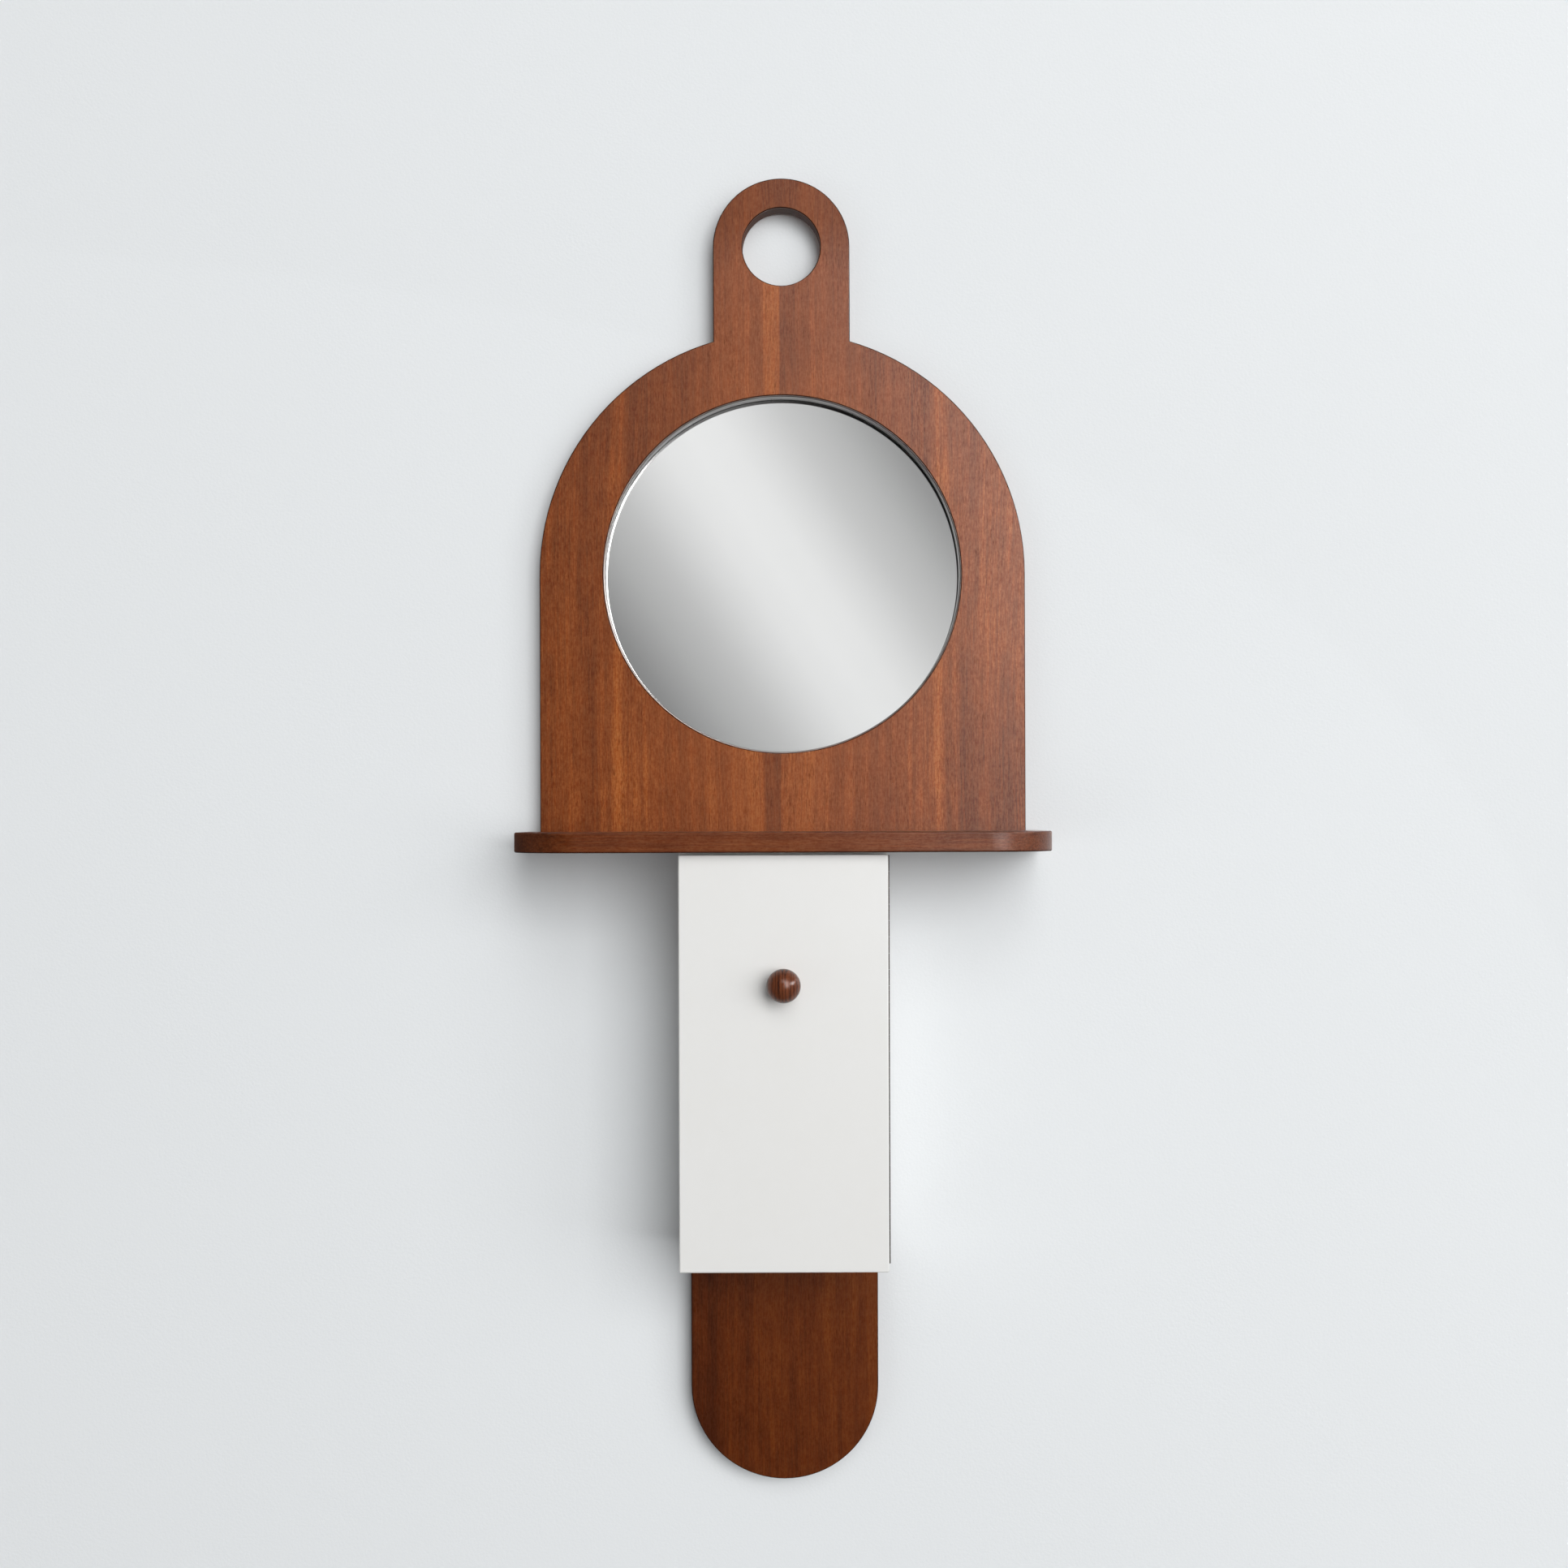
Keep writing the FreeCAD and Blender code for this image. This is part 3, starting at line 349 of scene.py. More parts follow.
def buildLacquerSkin():
    # Sprayed lacquer: a slow ripple, a fine one, and sparse specks of dust under the film
    inputs = {"Vector": None, "Ripple": 1.0, "Dust": 1.0}
    group, given, result = makeGroup("lacquerSkin", inputs, ("Tone", "Roughness", "Height", "Dust"))
    place, look = given["Vector"], skinLook
    slow = cloud(group, place, look["slow"])
    peel = cloud(group, place, look["peel"], 1.0)
    haze = cloud(group, place, look["haze"], 3.0)
    specks = addNode(group, "TexVoronoi", {"Vector": place, "Scale": look["speckScale"]}, feature="F1")
    near = oneMinus(group, rise(group, specks.outputs["Distance"], *look["speckSize"]))
    pick = addNode(group, "SeparateColor", {0: specks.outputs["Color"]}).outputs[0]
    dust = times(group, near, rise(group, pick, *look["speckPick"]))
    wire(group, total(group, around(group, haze, 1.0), around(group, slow, look["slowTone"])),
         result["Tone"])
    wire(group, total(group, around(group, haze, look["hazeRough"]),
                      around(group, slow, look["slowRough"])), result["Roughness"])
    ripple = total(group, slow, times(group, peel, look["peelHeight"]))
    wire(group, times(group, ripple, given["Ripple"]), result["Height"])
    wire(group, times(group, dust, given["Dust"]), result["Dust"])
    return group


# Tone and Roughness: the shares of clouds, drawn lines and rubbed spots
platingLook = {"alongLines": 14.0, "rubbedScale": 240.0, "rubbedAndLit": (0.56, 0.70), "Tone": (1.2, 0.5, 0.2),
               "Roughness": (0.25, 0.15, -0.08)}


def buildPlating():
    # Plated or cast metal: soft cloudy tone, fine drawn lines and a few rubbed spots
    inputs = {"Vector": None, "Line Scale": 900.0, "Cloud Scale": 60.0}
    group, given, result = makeGroup("plating", inputs, ("Tone", "Roughness", "Height"))
    place, wide = given["Vector"], given["Line Scale"]
    lineSize = addNode(group, "CombineXYZ", {0: wide, 1: wide, 2: platingLook["alongLines"]}).outputs[0]
    lines = cloud(group, place, lineSize)
    clouds = addNode(group, "TexNoise", {"Vector": place, "Scale": given["Cloud Scale"],
                                         "Detail": 4.0}).outputs[0]
    rubbedAndLit = rise(group, cloud(group, place, platingLook["rubbedScale"]), *platingLook["rubbedAndLit"])
    for label in ("Tone", "Roughness"):
        cloudShare, lineShare, rubbedShare = platingLook[label]
        wire(group, total(group, around(group, clouds, cloudShare), around(group, lines, lineShare),
                          times(group, rubbedAndLit, rubbedShare)), result[label])
    wire(group, lines, result["Height"])
    return group


fibreLook = {"strandRoughness": 0.6, "mottleScale": 70.0, "strandTone": 1.6, "mottleTone": 0.6,
             "stretch": 7.0, "roughness": 0.9, "specular": 0.3, "bump": 0.5}


def buildFibre():
    # Pressed fibres: short crossing strands in two directions over a coarse mottling
    inputs = {"Vector": None, "Strand Scale": 300.0, "Stretch": 6.0}
    group, given, result = makeGroup("fibre", inputs, ("Tone", "Height"))
    place, wide = given["Vector"], given["Strand Scale"]
    long = calc(group, "DIVIDE", wide, given["Stretch"])
    strands = []
    for sizes in ((wide, wide, long), (long, wide, wide)):
        size = addNode(group, "CombineXYZ", dict(enumerate(sizes))).outputs[0]
        strands.append(cloud(group, place, size, 3.0, fibreLook["strandRoughness"]))
    crossed = calc(group, "MAXIMUM", *strands)
    mottle = cloud(group, place, fibreLook["mottleScale"], 3.0)
    wire(group, total(group, around(group, crossed, fibreLook["strandTone"]),
                      around(group, mottle, fibreLook["mottleTone"])), result["Tone"])
    wire(group, crossed, result["Height"])
    return group


veneerGroup = buildRibbonVeneer()
edgeGroup = buildStainedEdge()
skinGroup = buildLacquerSkin()
platingGroup = buildPlating()
fibreGroup = buildFibre()
print("shared node groups built")


# Materials, one function for each finish

archVeneer = {
    "deep": (0.108, 0.0255, 0.0050), "middle": (0.203, 0.0505, 0.0098), "pale": (0.338, 0.0950, 0.0190),
    "pore": (0.060, 0.016, 0.006), "stain": (0.020, 0.009, 0.006), "turn": (0.0, 0.0, 0.0),
    "shift": (0.0, 0.0, 0.0), "seam": -0.0015, "leafWidth": 0.2275, "waviness": 1.0, "band": 0.58,
    "broad": 0.25, "ribbon": 0.55, "fine": 0.80, "blotch": 0.60, "seamShade": 0.42, "fleck": 1.0,
    "poreAmount": 0.42, "paintedSideLight": 0.10, "lowTone": -0.26, "topShade": -0.13, "flatFrom": 0.53,
    "flatTo": 0.59, "flatAmount": 0.5, "roughness": 0.30, "coat": 0.76, "coatRoughness": 0.30,
    "specular": 0.12, "lineAmount": 0.90, "sideAmount": 0.70, "dullness": 1.0,
}
# The tail's side tone is painted light and shade: lighter towards the right, darker towards the left
tailVeneer = {
    **archVeneer,
    "deep": (0.046, 0.0085, 0.0010), "middle": (0.095, 0.0190, 0.0022), "pale": (0.158, 0.0370, 0.0046),
    "pore": (0.030, 0.008, 0.003), "stain": (0.014, 0.006, 0.004), "shift": (0.0, 0.0, 1.0),
    "seam": -0.31, "leafWidth": 0.26, "waviness": 0.7, "band": 0.30, "broad": 0.75, "ribbon": 0.45,
    "seamShade": 0.0, "fleck": 0.6, "poreAmount": 0.28, "paintedSideLight": 0.55, "lowTone": 0.0, "topShade": 0.0,
    "flatAmount": 0.0, "coat": 0.58,
}
shelfVeneer = {
    **archVeneer,
    "deep": (0.056, 0.0130, 0.0036), "middle": (0.120, 0.0300, 0.0080), "pale": (0.190, 0.0540, 0.0150),
    "stain": (0.020, 0.008, 0.005), "turn": (0.0, math.radians(90.0), 0.0), "shift": (0.0, 0.0, 1.3),
    "seam": -0.9, "leafWidth": 0.6, "waviness": 0.4, "band": 0.2, "broad": 0.5, "ribbon": 0.90,
    "fine": 1.0, "seamShade": 0.0, "fleck": 0.8, "paintedSideLight": 0.0, "lowTone": 0.0, "topShade": 0.0,
    "flatFrom": 1.14, "flatTo": 1.30, "roughness": 0.36, "coat": 0.58, "coatRoughness": 0.36,
    "specular": 0.10, "lineAmount": 0.85, "sideAmount": 0.0, "dullness": 0.0,
}


boardCorner = 0.001
rimLook = {"mattAndShade": (0.195, 0.232), "upper": (-0.001, 0.001), "paintedTopLight": 0.75}
filmLook = {"dust": 0.8, "dustColor": (0.42, 0.33, 0.26), "paintedEndShade": 0.35, "dullRough": 0.5,
            "grainHeight": 0.6, "bump": (0.22, 0.0001)}


def frontDepth(tree, place, facePlane):
    # How far behind a board's front face a point lies, in corner radii; the line's share; how matt it is,
    # which also sets its painted shade
    behind = minus(tree, axesOf(tree, place)[1], facePlane)
    return calc(tree, "DIVIDE", behind, boardCorner), 1.0, 0.0


def rimDepth(tree, place, halfThickness):
    # The same for the shelf, whose front band runs right round: towards its top and its underside.
    # The stain line is lighter on the upper corner than on the lower one: painted light above, painted
    # shade below. The left end is left matt and is darkened with painted shade, as it turns away from the
    # light.
    axes = axesOf(tree, place)
    mattAndShade = rise(tree, times(tree, axes[0], -1.0), *rimLook["mattAndShade"])
    outward = minus(tree, calc(tree, "ABSOLUTE", axes[2]), halfThickness - boardCorner)
    # Painted light on the upper corner's line, painted shade on the full line of the lower corner
    rubbedAndLit = times(tree, rise(tree, axes[2], *rimLook["upper"]), rimLook["paintedTopLight"])
    return calc(tree, "DIVIDE", outward, boardCorner), oneMinus(tree, rubbedAndLit), mattAndShade


def veneerMaterial(name, look, findDepth, edgePlace):
    material, tree, shader = newMaterial(name, Specular_IOR_Level=look["specular"],
                                         Coat_Roughness=look["coatRoughness"])
    plain = addNode(tree, "TexCoord").outputs["Object"]
    grain = useGroup(tree, veneerGroup, {
        "Vector": objectPlace(tree, look["turn"], look["shift"]),
        **{key: rgb(look[key]) for key in veneerColors}, **{key: look[key] for key in veneerAmounts}})
    depth, share, mattAndShade = findDepth(tree, plain, edgePlace)
    edge = useGroup(tree, edgeGroup, {
        "Vector": plain, "Face Color": grain["Color"], "Stain": rgb(look["stain"]), "Depth": depth,
        "Line Amount": times(tree, share, look["lineAmount"]), "Side Amount": look["sideAmount"],
        "Dullness": look["dullness"]})
    skin = useGroup(tree, skinGroup, {"Vector": plain, "Ripple": 1.0, "Dust": filmLook["dust"]})
    # Painted shade: the shelf's matt left end is mixed towards the stain colour
    shaded = mixColor(tree, times(tree, mattAndShade, filmLook["paintedEndShade"]), edge["Color"], rgb(look["stain"]))
    color = mixColor(tree, skin["Dust"], shaded, rgb(filmLook["dustColor"]))
    dull = calc(tree, "MAXIMUM", edge["Dull"], mattAndShade)
    wire(tree, times(tree, grain["Gloss"], oneMinus(tree, dull), look["coat"]), shader["Coat Weight"])
    roughness = total(tree, look["roughness"], grain["Roughness"], skin["Roughness"],
                      times(tree, dull, filmLook["dullRough"]))
    height = total(tree, times(tree, grain["Height"], filmLook["grainHeight"]), skin["Height"])
    dress(tree, shader, color, roughness, height, filmLook["bump"])
    return material


stripedWood = {
    "dark": (0.0330, 0.0110, 0.0070), "red": (0.165, 0.048, 0.0200), "pore": (0.01, 0.005, 0.003),
    "pitch": 0.0033, "roughness": 0.24, "specular": 0.30, "wobble": (190.0, 45.0, 22.0),
    "wobbleSwing": 0.0058, "drawn": (900.0, 900.0, 60.0), "drawnSwing": 0.0016,
    "uneven": (420.0, 90.0, 16.0), "unevenShare": 5.5, "stripeShare": 0.8, "redZone": (-1.8, 0.9),
    "pores": (2600.0, 2600.0, 260.0), "poreZone": (0.60, 0.72), "poreShare": 0.5, "poreRough": 0.15,
    "poreHeight": -0.8, "ripple": 0.6, "bump": (0.2, 0.0001),
}


def knobMaterial():
    # Growth layers stand across X, so the ball shows upright stripes that close up at its sides
    look = stripedWood
    material, tree, shader = newMaterial("knobWood", Specular_IOR_Level=look["specular"])
    place = objectPlace(tree)
    wobble = around(tree, cloud(tree, place, look["wobble"]), look["wobbleSwing"])
    drawn = around(tree, cloud(tree, place, look["drawn"]), look["drawnSwing"])
    layer = calc(tree, "DIVIDE", total(tree, axesOf(tree, place)[0], wobble, drawn), look["pitch"])
    stripe = calc(tree, "SINE", times(tree, layer, 2.0 * math.pi))
    uneven = around(tree, cloud(tree, place, look["uneven"], 3.0, 0.7), look["unevenShare"])
    red = rise(tree, total(tree, times(tree, stripe, look["stripeShare"]), uneven), *look["redZone"])
    pores = rise(tree, cloud(tree, place, look["pores"], 1.0), *look["poreZone"])
    color = mixColor(tree, red, rgb(look["dark"]), rgb(look["red"]))
    color = mixColor(tree, times(tree, pores, look["poreShare"]), color, rgb(look["pore"]))
    skin = useGroup(tree, skinGroup, {"Vector": place, "Ripple": look["ripple"], "Dust": 0.0})
    roughness = total(tree, look["roughness"], skin["Roughness"], times(tree, pores, look["poreRough"]))
    height = total(tree, skin["Height"], times(tree, pores, look["poreHeight"]))
    dress(tree, shader, color, roughness, height, look["bump"])
    return material


whiteLacquer = {"white": (0.800, 0.800, 0.790), "warm": (0.765, 0.760, 0.735), "roughness": 0.40,
                "coat": 0.08, "coatRoughness": 0.30, "toneBase": 0.35, "toneGain": 0.9, "dust": 0.25,
                "dustColor": (0.52, 0.49, 0.45), "bump": (0.10, 0.0001)}


def lacquerMaterial():
    look = whiteLacquer
    material, tree, shader = newMaterial("whiteLacquer", Coat_Weight=look["coat"],
                                         Coat_Roughness=look["coatRoughness"])
    skin = useGroup(tree, skinGroup, {"Vector": objectPlace(tree), "Ripple": 1.0, "Dust": look["dust"]})
    tone = total(tree, look["toneBase"], times(tree, skin["Tone"], look["toneGain"]))
    clean = mixColor(tree, tone, rgb(look["white"]), rgb(look["warm"]))
    dress(tree, shader, mixColor(tree, skin["Dust"], clean, rgb(look["dustColor"])),
          total(tree, look["roughness"], skin["Roughness"]), skin["Height"], look["bump"])
    return material


metalLook = {"cloudScale": 60.0, "bump": (0.12, 0.00005)}
# The lip colour is painted shade: a darker band at the front of the liner
linerLook = {"dark": (0.58, 0.56, 0.55), "light": (0.74, 0.72, 0.71), "roughness": 0.36,
             "lineScale": 1400.0, "lip": (0.20, 0.175, 0.165), "lipShadeZone": (0.0004, 0.0009)}


def metalMaterial(name, dark, light, roughness, lineScale=900.0, lip=None, lipShadeZone=None):
    # Plated or drawn metal. A lip is the darker colour at the liner's front, painted shade; its zone is how
    # far behind the front it gives way to the wall of the liner.
    material, tree, shader = newMaterial(name, Metallic=1.0)
    place = objectPlace(tree)
    metal = useGroup(tree, platingGroup, {"Vector": place, "Line Scale": lineScale,
                                          "Cloud Scale": metalLook["cloudScale"]})
    color = blend(tree, dark, light, metal["Tone"])
    if lip:
        behind = minus(tree, axesOf(tree, place)[1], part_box("mirror_liner_ring")[0].y)
        color = mixColor(tree, rise(tree, behind, *lipShadeZone), rgb(lip), color)
    dress(tree, shader, color, total(tree, roughness, metal["Roughness"]), metal["Height"],
          metalLook["bump"])
    return material


def fibreMaterial(name, dark, light, strandScale, bumpDepth, sheen=0.0):
    look = fibreLook
    material, tree, shader = newMaterial(name, Roughness=look["roughness"], Sheen_Weight=sheen,
                                         Specular_IOR_Level=look["specular"])
    fibre = useGroup(tree, fibreGroup, {"Vector": objectPlace(tree), "Strand Scale": strandScale,
                                        "Stretch": look["stretch"]})
    dress(tree, shader, blend(tree, dark, light, fibre["Tone"]), height=fibre["Height"],
          bump=(look["bump"], bumpDepth))
    return material


mouldLook = {"slowScale": 80.0, "slowTone": 1.2, "grainTone": 0.5, "grainRough": 0.2,
             "bump": (0.3, 0.00004)}


def mouldedMaterial(name, dark, light, roughness, grainScale):
    look = mouldLook
    material, tree, shader = newMaterial(name)
    place = objectPlace(tree)
    grain = cloud(tree, place, grainScale)
    slow = cloud(tree, place, look["slowScale"], 3.0)
    color = blend(tree, dark, light, around(tree, slow, look["slowTone"]),
                  around(tree, grain, look["grainTone"]))
    dress(tree, shader, color, total(tree, roughness, around(tree, grain, look["grainRough"])), grain,
          look["bump"])
    return material


silverLook = {"dark": (0.945, 0.946, 0.946), "light": (0.970, 0.971, 0.971), "hazeScale": 12.0,
              "hazeTone": 0.8, "hazeRough": 0.006}


def silverMaterial():
    # Silvering behind the pane, faintly cloudy
    look = silverLook
    material, tree, shader = newMaterial("mirrorSilver", Metallic=1.0)
    haze = cloud(tree, objectPlace(tree), look["hazeScale"], 3.0)
    color = blend(tree, look["dark"], look["light"], around(tree, haze, look["hazeTone"]))
    dress(tree, shader, color, times(tree, haze, look["hazeRough"]))
    return material


paneLook = {"smear": (16.0, 16.0, 5.0), "clear": (0.992, 0.997, 0.995), "smeared": (0.998, 1.0, 0.999),
            "smearZone": (0.45, 0.8), "smearRough": 0.004, "ior": 1.5}


def paneMaterial():
    # Clear float glass: barely green, with a trace of smear in its roughness
    look = paneLook
    material, tree, shader = newMaterial("mirrorPane", Transmission_Weight=1.0, IOR=look["ior"])
    smear = cloud(tree, objectPlace(tree), look["smear"], 4.0)
    dress(tree, shader, mixColor(tree, smear, rgb(look["clear"]), rgb(look["smeared"])),
          times(tree, rise(tree, smear, *look["smearZone"]), look["smearRough"]))
    return material


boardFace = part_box("arch_panel")[0].y
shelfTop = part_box("shelf_board")[1].z
finishes = {
    "panel_veneer": veneerMaterial("archVeneer", archVeneer, frontDepth, boardFace),
    "tail_veneer": veneerMaterial("tailVeneer", tailVeneer, frontDepth, boardFace),
    "shelf_veneer": veneerMaterial("shelfVeneer", shelfVeneer, rimDepth, shelfTop),
    "knob_wood": knobMaterial(),
    "white_lacquer": lacquerMaterial(),
    "dowel_wood": fibreMaterial("beech", (0.50, 0.34, 0.20), (0.68, 0.50, 0.32), strandScale=900.0,
                                bumpDepth=0.00004),
    "hardboard": fibreMaterial("hardboard", (0.12, 0.062, 0.030), (0.27, 0.155, 0.082),
                               strandScale=420.0, bumpDepth=0.00012),
    "liner_metal": metalMaterial("linerMetal", **linerLook),
    "mirror": silverMaterial(),
    "zinc_steel": metalMaterial("zincSteel", (0.50, 0.50, 0.49), (0.74, 0.74, 0.73), roughness=0.36),
    "dark_hinge_metal": metalMaterial("darkHinge", (0.040, 0.031, 0.028), (0.085, 0.068, 0.060),
                                      roughness=0.40),
    "felt": fibreMaterial("felt", (0.055, 0.055, 0.058), (0.150, 0.150, 0.155), strandScale=1500.0,
                          bumpDepth=0.00025, sheen=0.3),
    "catch_plastic": mouldedMaterial("catchPlastic", (0.62, 0.62, 0.60), (0.76, 0.76, 0.74),
                                     roughness=0.45, grainScale=1800.0),
    "magnet_ferrite": mouldedMaterial("ferrite", (0.030, 0.030, 0.034), (0.070, 0.070, 0.074),
                                      roughness=0.60, grainScale=1200.0),
    "bumper_rubber": mouldedMaterial("bumperRubber", (0.48, 0.48, 0.46), (0.60, 0.60, 0.58),
                                     roughness=0.50, grainScale=900.0),
}
for part in frame["record"]["subparts"]:
    for place in frame["nodes"][part["node"]].material_slots:
        place.material = finishes[part["material_slot"]]
print("materials placed on", len(frame["nodes"]), "nodes")


# New pieces, as grids of points

def gridMesh(name, points, closedAcross=False):
    # Rows of points joined to the next row, each row closed on itself; closedAcross joins the last row to
    # the first. Rows that are one point close into a pole when doubles are merged.
    rows, count = points.shape[:2]
    lastRow = rows if closedAcross else rows - 1
    row, column = np.meshgrid(np.arange(lastRow), np.arange(count), indexing="ij")
    nextRow, nextColumn = (row + 1) % rows, (column + 1) % count
    quads = np.stack([row * count + column, row * count + nextColumn,
                      nextRow * count + nextColumn, nextRow * count + column], axis=-1).reshape(-1, 4)
    mesh = bpy.data.meshes.new(name)
    mesh.from_pydata(points.reshape(-1, 3).tolist(), [], quads.tolist())
    return mesh


meshRules = {"merge": 1e-7, "degenerate": 1e-8, "islandMerge": 1e-6, "sharpDegrees": 40.0}


def finishMesh(mesh, material):
    # Doubles merged, normals turned outwards, smooth except at sharp edges
    work = bmesh.new()
    work.from_mesh(mesh)
    bmesh.ops.remove_doubles(work, verts=work.verts, dist=meshRules["merge"])
    bmesh.ops.dissolve_degenerate(work, edges=work.edges, dist=meshRules["degenerate"])
    bmesh.ops.recalc_face_normals(work, faces=work.faces)
    for face in work.faces:
        face.smooth = True
    for edge in work.edges:
        if len(edge.link_faces) == 2 and edge.calc_face_angle() > math.radians(meshRules["sharpDegrees"]):
            edge.smooth = False
    work.to_mesh(mesh)
    work.free()
    mesh.materials.append(material)
    return mesh


def newObject(name, data):
    result = bpy.data.objects.new(name, data)
    bpy.context.scene.collection.objects.link(result)
    return result


def addPiece(name, mesh, body, slotName, *nodes):
    piece = newObject(name, mesh)
    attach(piece, body)
    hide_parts(*nodes)
    return piece


def turnedPoints(profile, centre, steps):
    # Profile pairs (radius r, distance s towards the front) turned about a level axis that runs to -Y:
    # x = cx + r cos a, y = cy - s, z = cz + r sin a
    angle = np.linspace(0.0, 2.0 * math.pi, steps, endpoint=False)
    radius, ahead = np.array(profile).T
    x = centre[0] + radius[:, None] * np.cos(angle)
    y = np.broadcast_to(centre[1] - ahead[:, None], x.shape)
    z = centre[2] + radius[:, None] * np.sin(angle)
    return np.stack([x, y, z], axis=-1)


def cornerArc(centreR, centreS, radius, fromDegrees, toDegrees, steps):
    # Quarter or other arc of a profile: (r, s) = centre + radius (cos t, sin t)
    t = np.radians(np.linspace(fromDegrees, toDegrees, steps))
    return list(zip(centreR + radius * np.cos(t), centreS + radius * np.sin(t)))


def roundBox(node):
    # A round node's radius, its front and rear, and the point of its axis at the rear
    low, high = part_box(node)
    return (high.x - low.x) / 2, low.y, high.y, ((low.x + high.x) / 2, high.y, (low.z + high.z) / 2)


knobShape = {"neckRadius": 0.0075, "footEase": 0.0004, "cove": 0.0012, "coveSteps": 10, "ballSteps": 72,
             "turnSteps": 160}


def makeKnob():
    # Profile: flat foot, short neck, a small cove where the neck meets the ball, then the ball itself
    radius, front, rear, centre = roundBox("door_knob")
    neck, ease, cove = knobShape["neckRadius"], knobShape["footEase"], knobShape["cove"]
    ballCentre = (rear - front) - radius
    coveCentreR = neck + cove
    coveCentreS = ballCentre - math.sqrt((radius + cove) ** 2 - coveCentreR ** 2)
    meeting = math.degrees(math.atan2(ballCentre - coveCentreS, -coveCentreR))
    profile = [(0.0, 0.0), (neck - ease, 0.0), (neck, ease)]
    profile += cornerArc(coveCentreR, coveCentreS, cove, 180.0, meeting, knobShape["coveSteps"])
    profile += cornerArc(0.0, ballCentre, radius, meeting - 180.0, 90.0, knobShape["ballSteps"])
    mesh = gridMesh("turnedKnob", turnedPoints(profile, centre, knobShape["turnSteps"]))
    return addPiece("turned_knob", finishMesh(mesh, finishes["knob_wood"]), "door", "knob_wood",
                    "door_knob")


linerShape = {"wall": 0.0012, "lipEase": 0.0010, "outerEase": 0.0001, "rearEase": 0.0001,
              "turnSteps": 384, "arcSteps": 8}


def makeLiner():
    # Closed profile: a thin wall whose lip rounds over towards the mirror, with tiny eases elsewhere
    outer, front, rear, centre = roundBox("mirror_liner_ring")
    length = rear - front
    inner = outer - linerShape["wall"]
    lip, corner, end = linerShape["lipEase"], linerShape["outerEase"], linerShape["rearEase"]
    steps = linerShape["arcSteps"]
    profile = cornerArc(inner + lip, length - lip, lip, 180.0, 90.0, steps)
    profile += cornerArc(outer - corner, length - corner, corner, 90.0, 0.0, steps)
    profile += cornerArc(outer - end, end, end, 0.0, -90.0, steps)
    profile += cornerArc(inner + end, end, end, -90.0, -180.0, steps)
    seat = (centre[0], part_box("mirror_glass")[0].y, centre[2])
    mesh = gridMesh("linerRing", turnedPoints(profile, seat, linerShape["turnSteps"]), closedAcross=True)
    return addPiece("liner_ring", finishMesh(mesh, finishes["liner_metal"]), "frame", "liner_metal",
                    "mirror_liner_ring")


glassShape = {"ease": 0.0004, "silverThickness": 0.0001, "silverEase": 0.000025, "gap": 0.00002,
              "turnSteps": 256}


def discPoints(radius, thickness, ease, centre, steps):
    # A flat disc with chamfered rims: centre, face, rim, face, centre
    profile = [(0.0, 0.0), (radius - ease, 0.0), (radius, ease), (radius, thickness - ease),
               (radius - ease, thickness), (0.0, thickness)]
    return turnedPoints(profile, centre, steps)


def makeMirror():
    # A clear pane with the silvering as a thin sheet behind it
    radius, front, rear, centre = roundBox("mirror_glass")
    silver, ease, steps = glassShape["silverThickness"], glassShape["ease"], glassShape["turnSteps"]
    paneRear = rear - silver - glassShape["gap"]
    seat = (centre[0], paneRear, centre[2])
    pane = gridMesh("mirrorPane", discPoints(radius, paneRear - front, ease, seat, steps))
    sheet = gridMesh("mirrorSilver", discPoints(radius - ease, silver, glassShape["silverEase"], centre,
                                                steps))
    addPiece("mirror_pane", finishMesh(pane, paneMaterial()), "frame", "mirror", "mirror_glass")
    addPiece("mirror_silver", finishMesh(sheet, finishes["mirror"]), "frame", "mirror", "mirror_glass")


feltShape = {"radius": 0.010, "ease": 0.0007, "turnSteps": 72, "rings": 14, "arcSteps": 5,
             "crown": 0.00025, "phase": 5.0, "waves": ((0.008, 5, 1), (0.005, 11, 2))}


def feltPoints(centre, thickness, phase):
    # Felt pad: flat where it meets the board, its free face towards the wall crowned by c (1 - (r/R)^2),
    # its rim wandering with the angle: each wave takes the share size (1 + sin(turns a + shift p)) off r
    radius, ease, crown = feltShape["radius"], feltShape["ease"], feltShape["crown"]
    rimHeight = thickness - crown - ease
    steps = feltShape["arcSteps"]
    profile = [(0.0, 0.0)] + cornerArc(radius - ease, -ease, ease, 90.0, 0.0, steps)
    profile += cornerArc(radius - ease, -rimHeight, ease, 0.0, -90.0, steps)
    share = np.linspace((radius - ease) / radius, 0.0, feltShape["rings"])[1:]
    profile += list(zip(radius * share, crown * share ** 2 - thickness))
    points = turnedPoints(profile, (0.0, centre[1], 0.0), feltShape["turnSteps"])
    angle = np.linspace(0.0, 2.0 * math.pi, feltShape["turnSteps"], endpoint=False)
    wander = 1.0
    for size, turns, shift in feltShape["waves"]:
        wander = wander - size * (1.0 + np.sin(turns * angle + shift * phase))
    points[:, :, 0] = centre[0] + points[:, :, 0] * wander
    points[:, :, 2] = centre[2] + points[:, :, 2] * wander
    return points


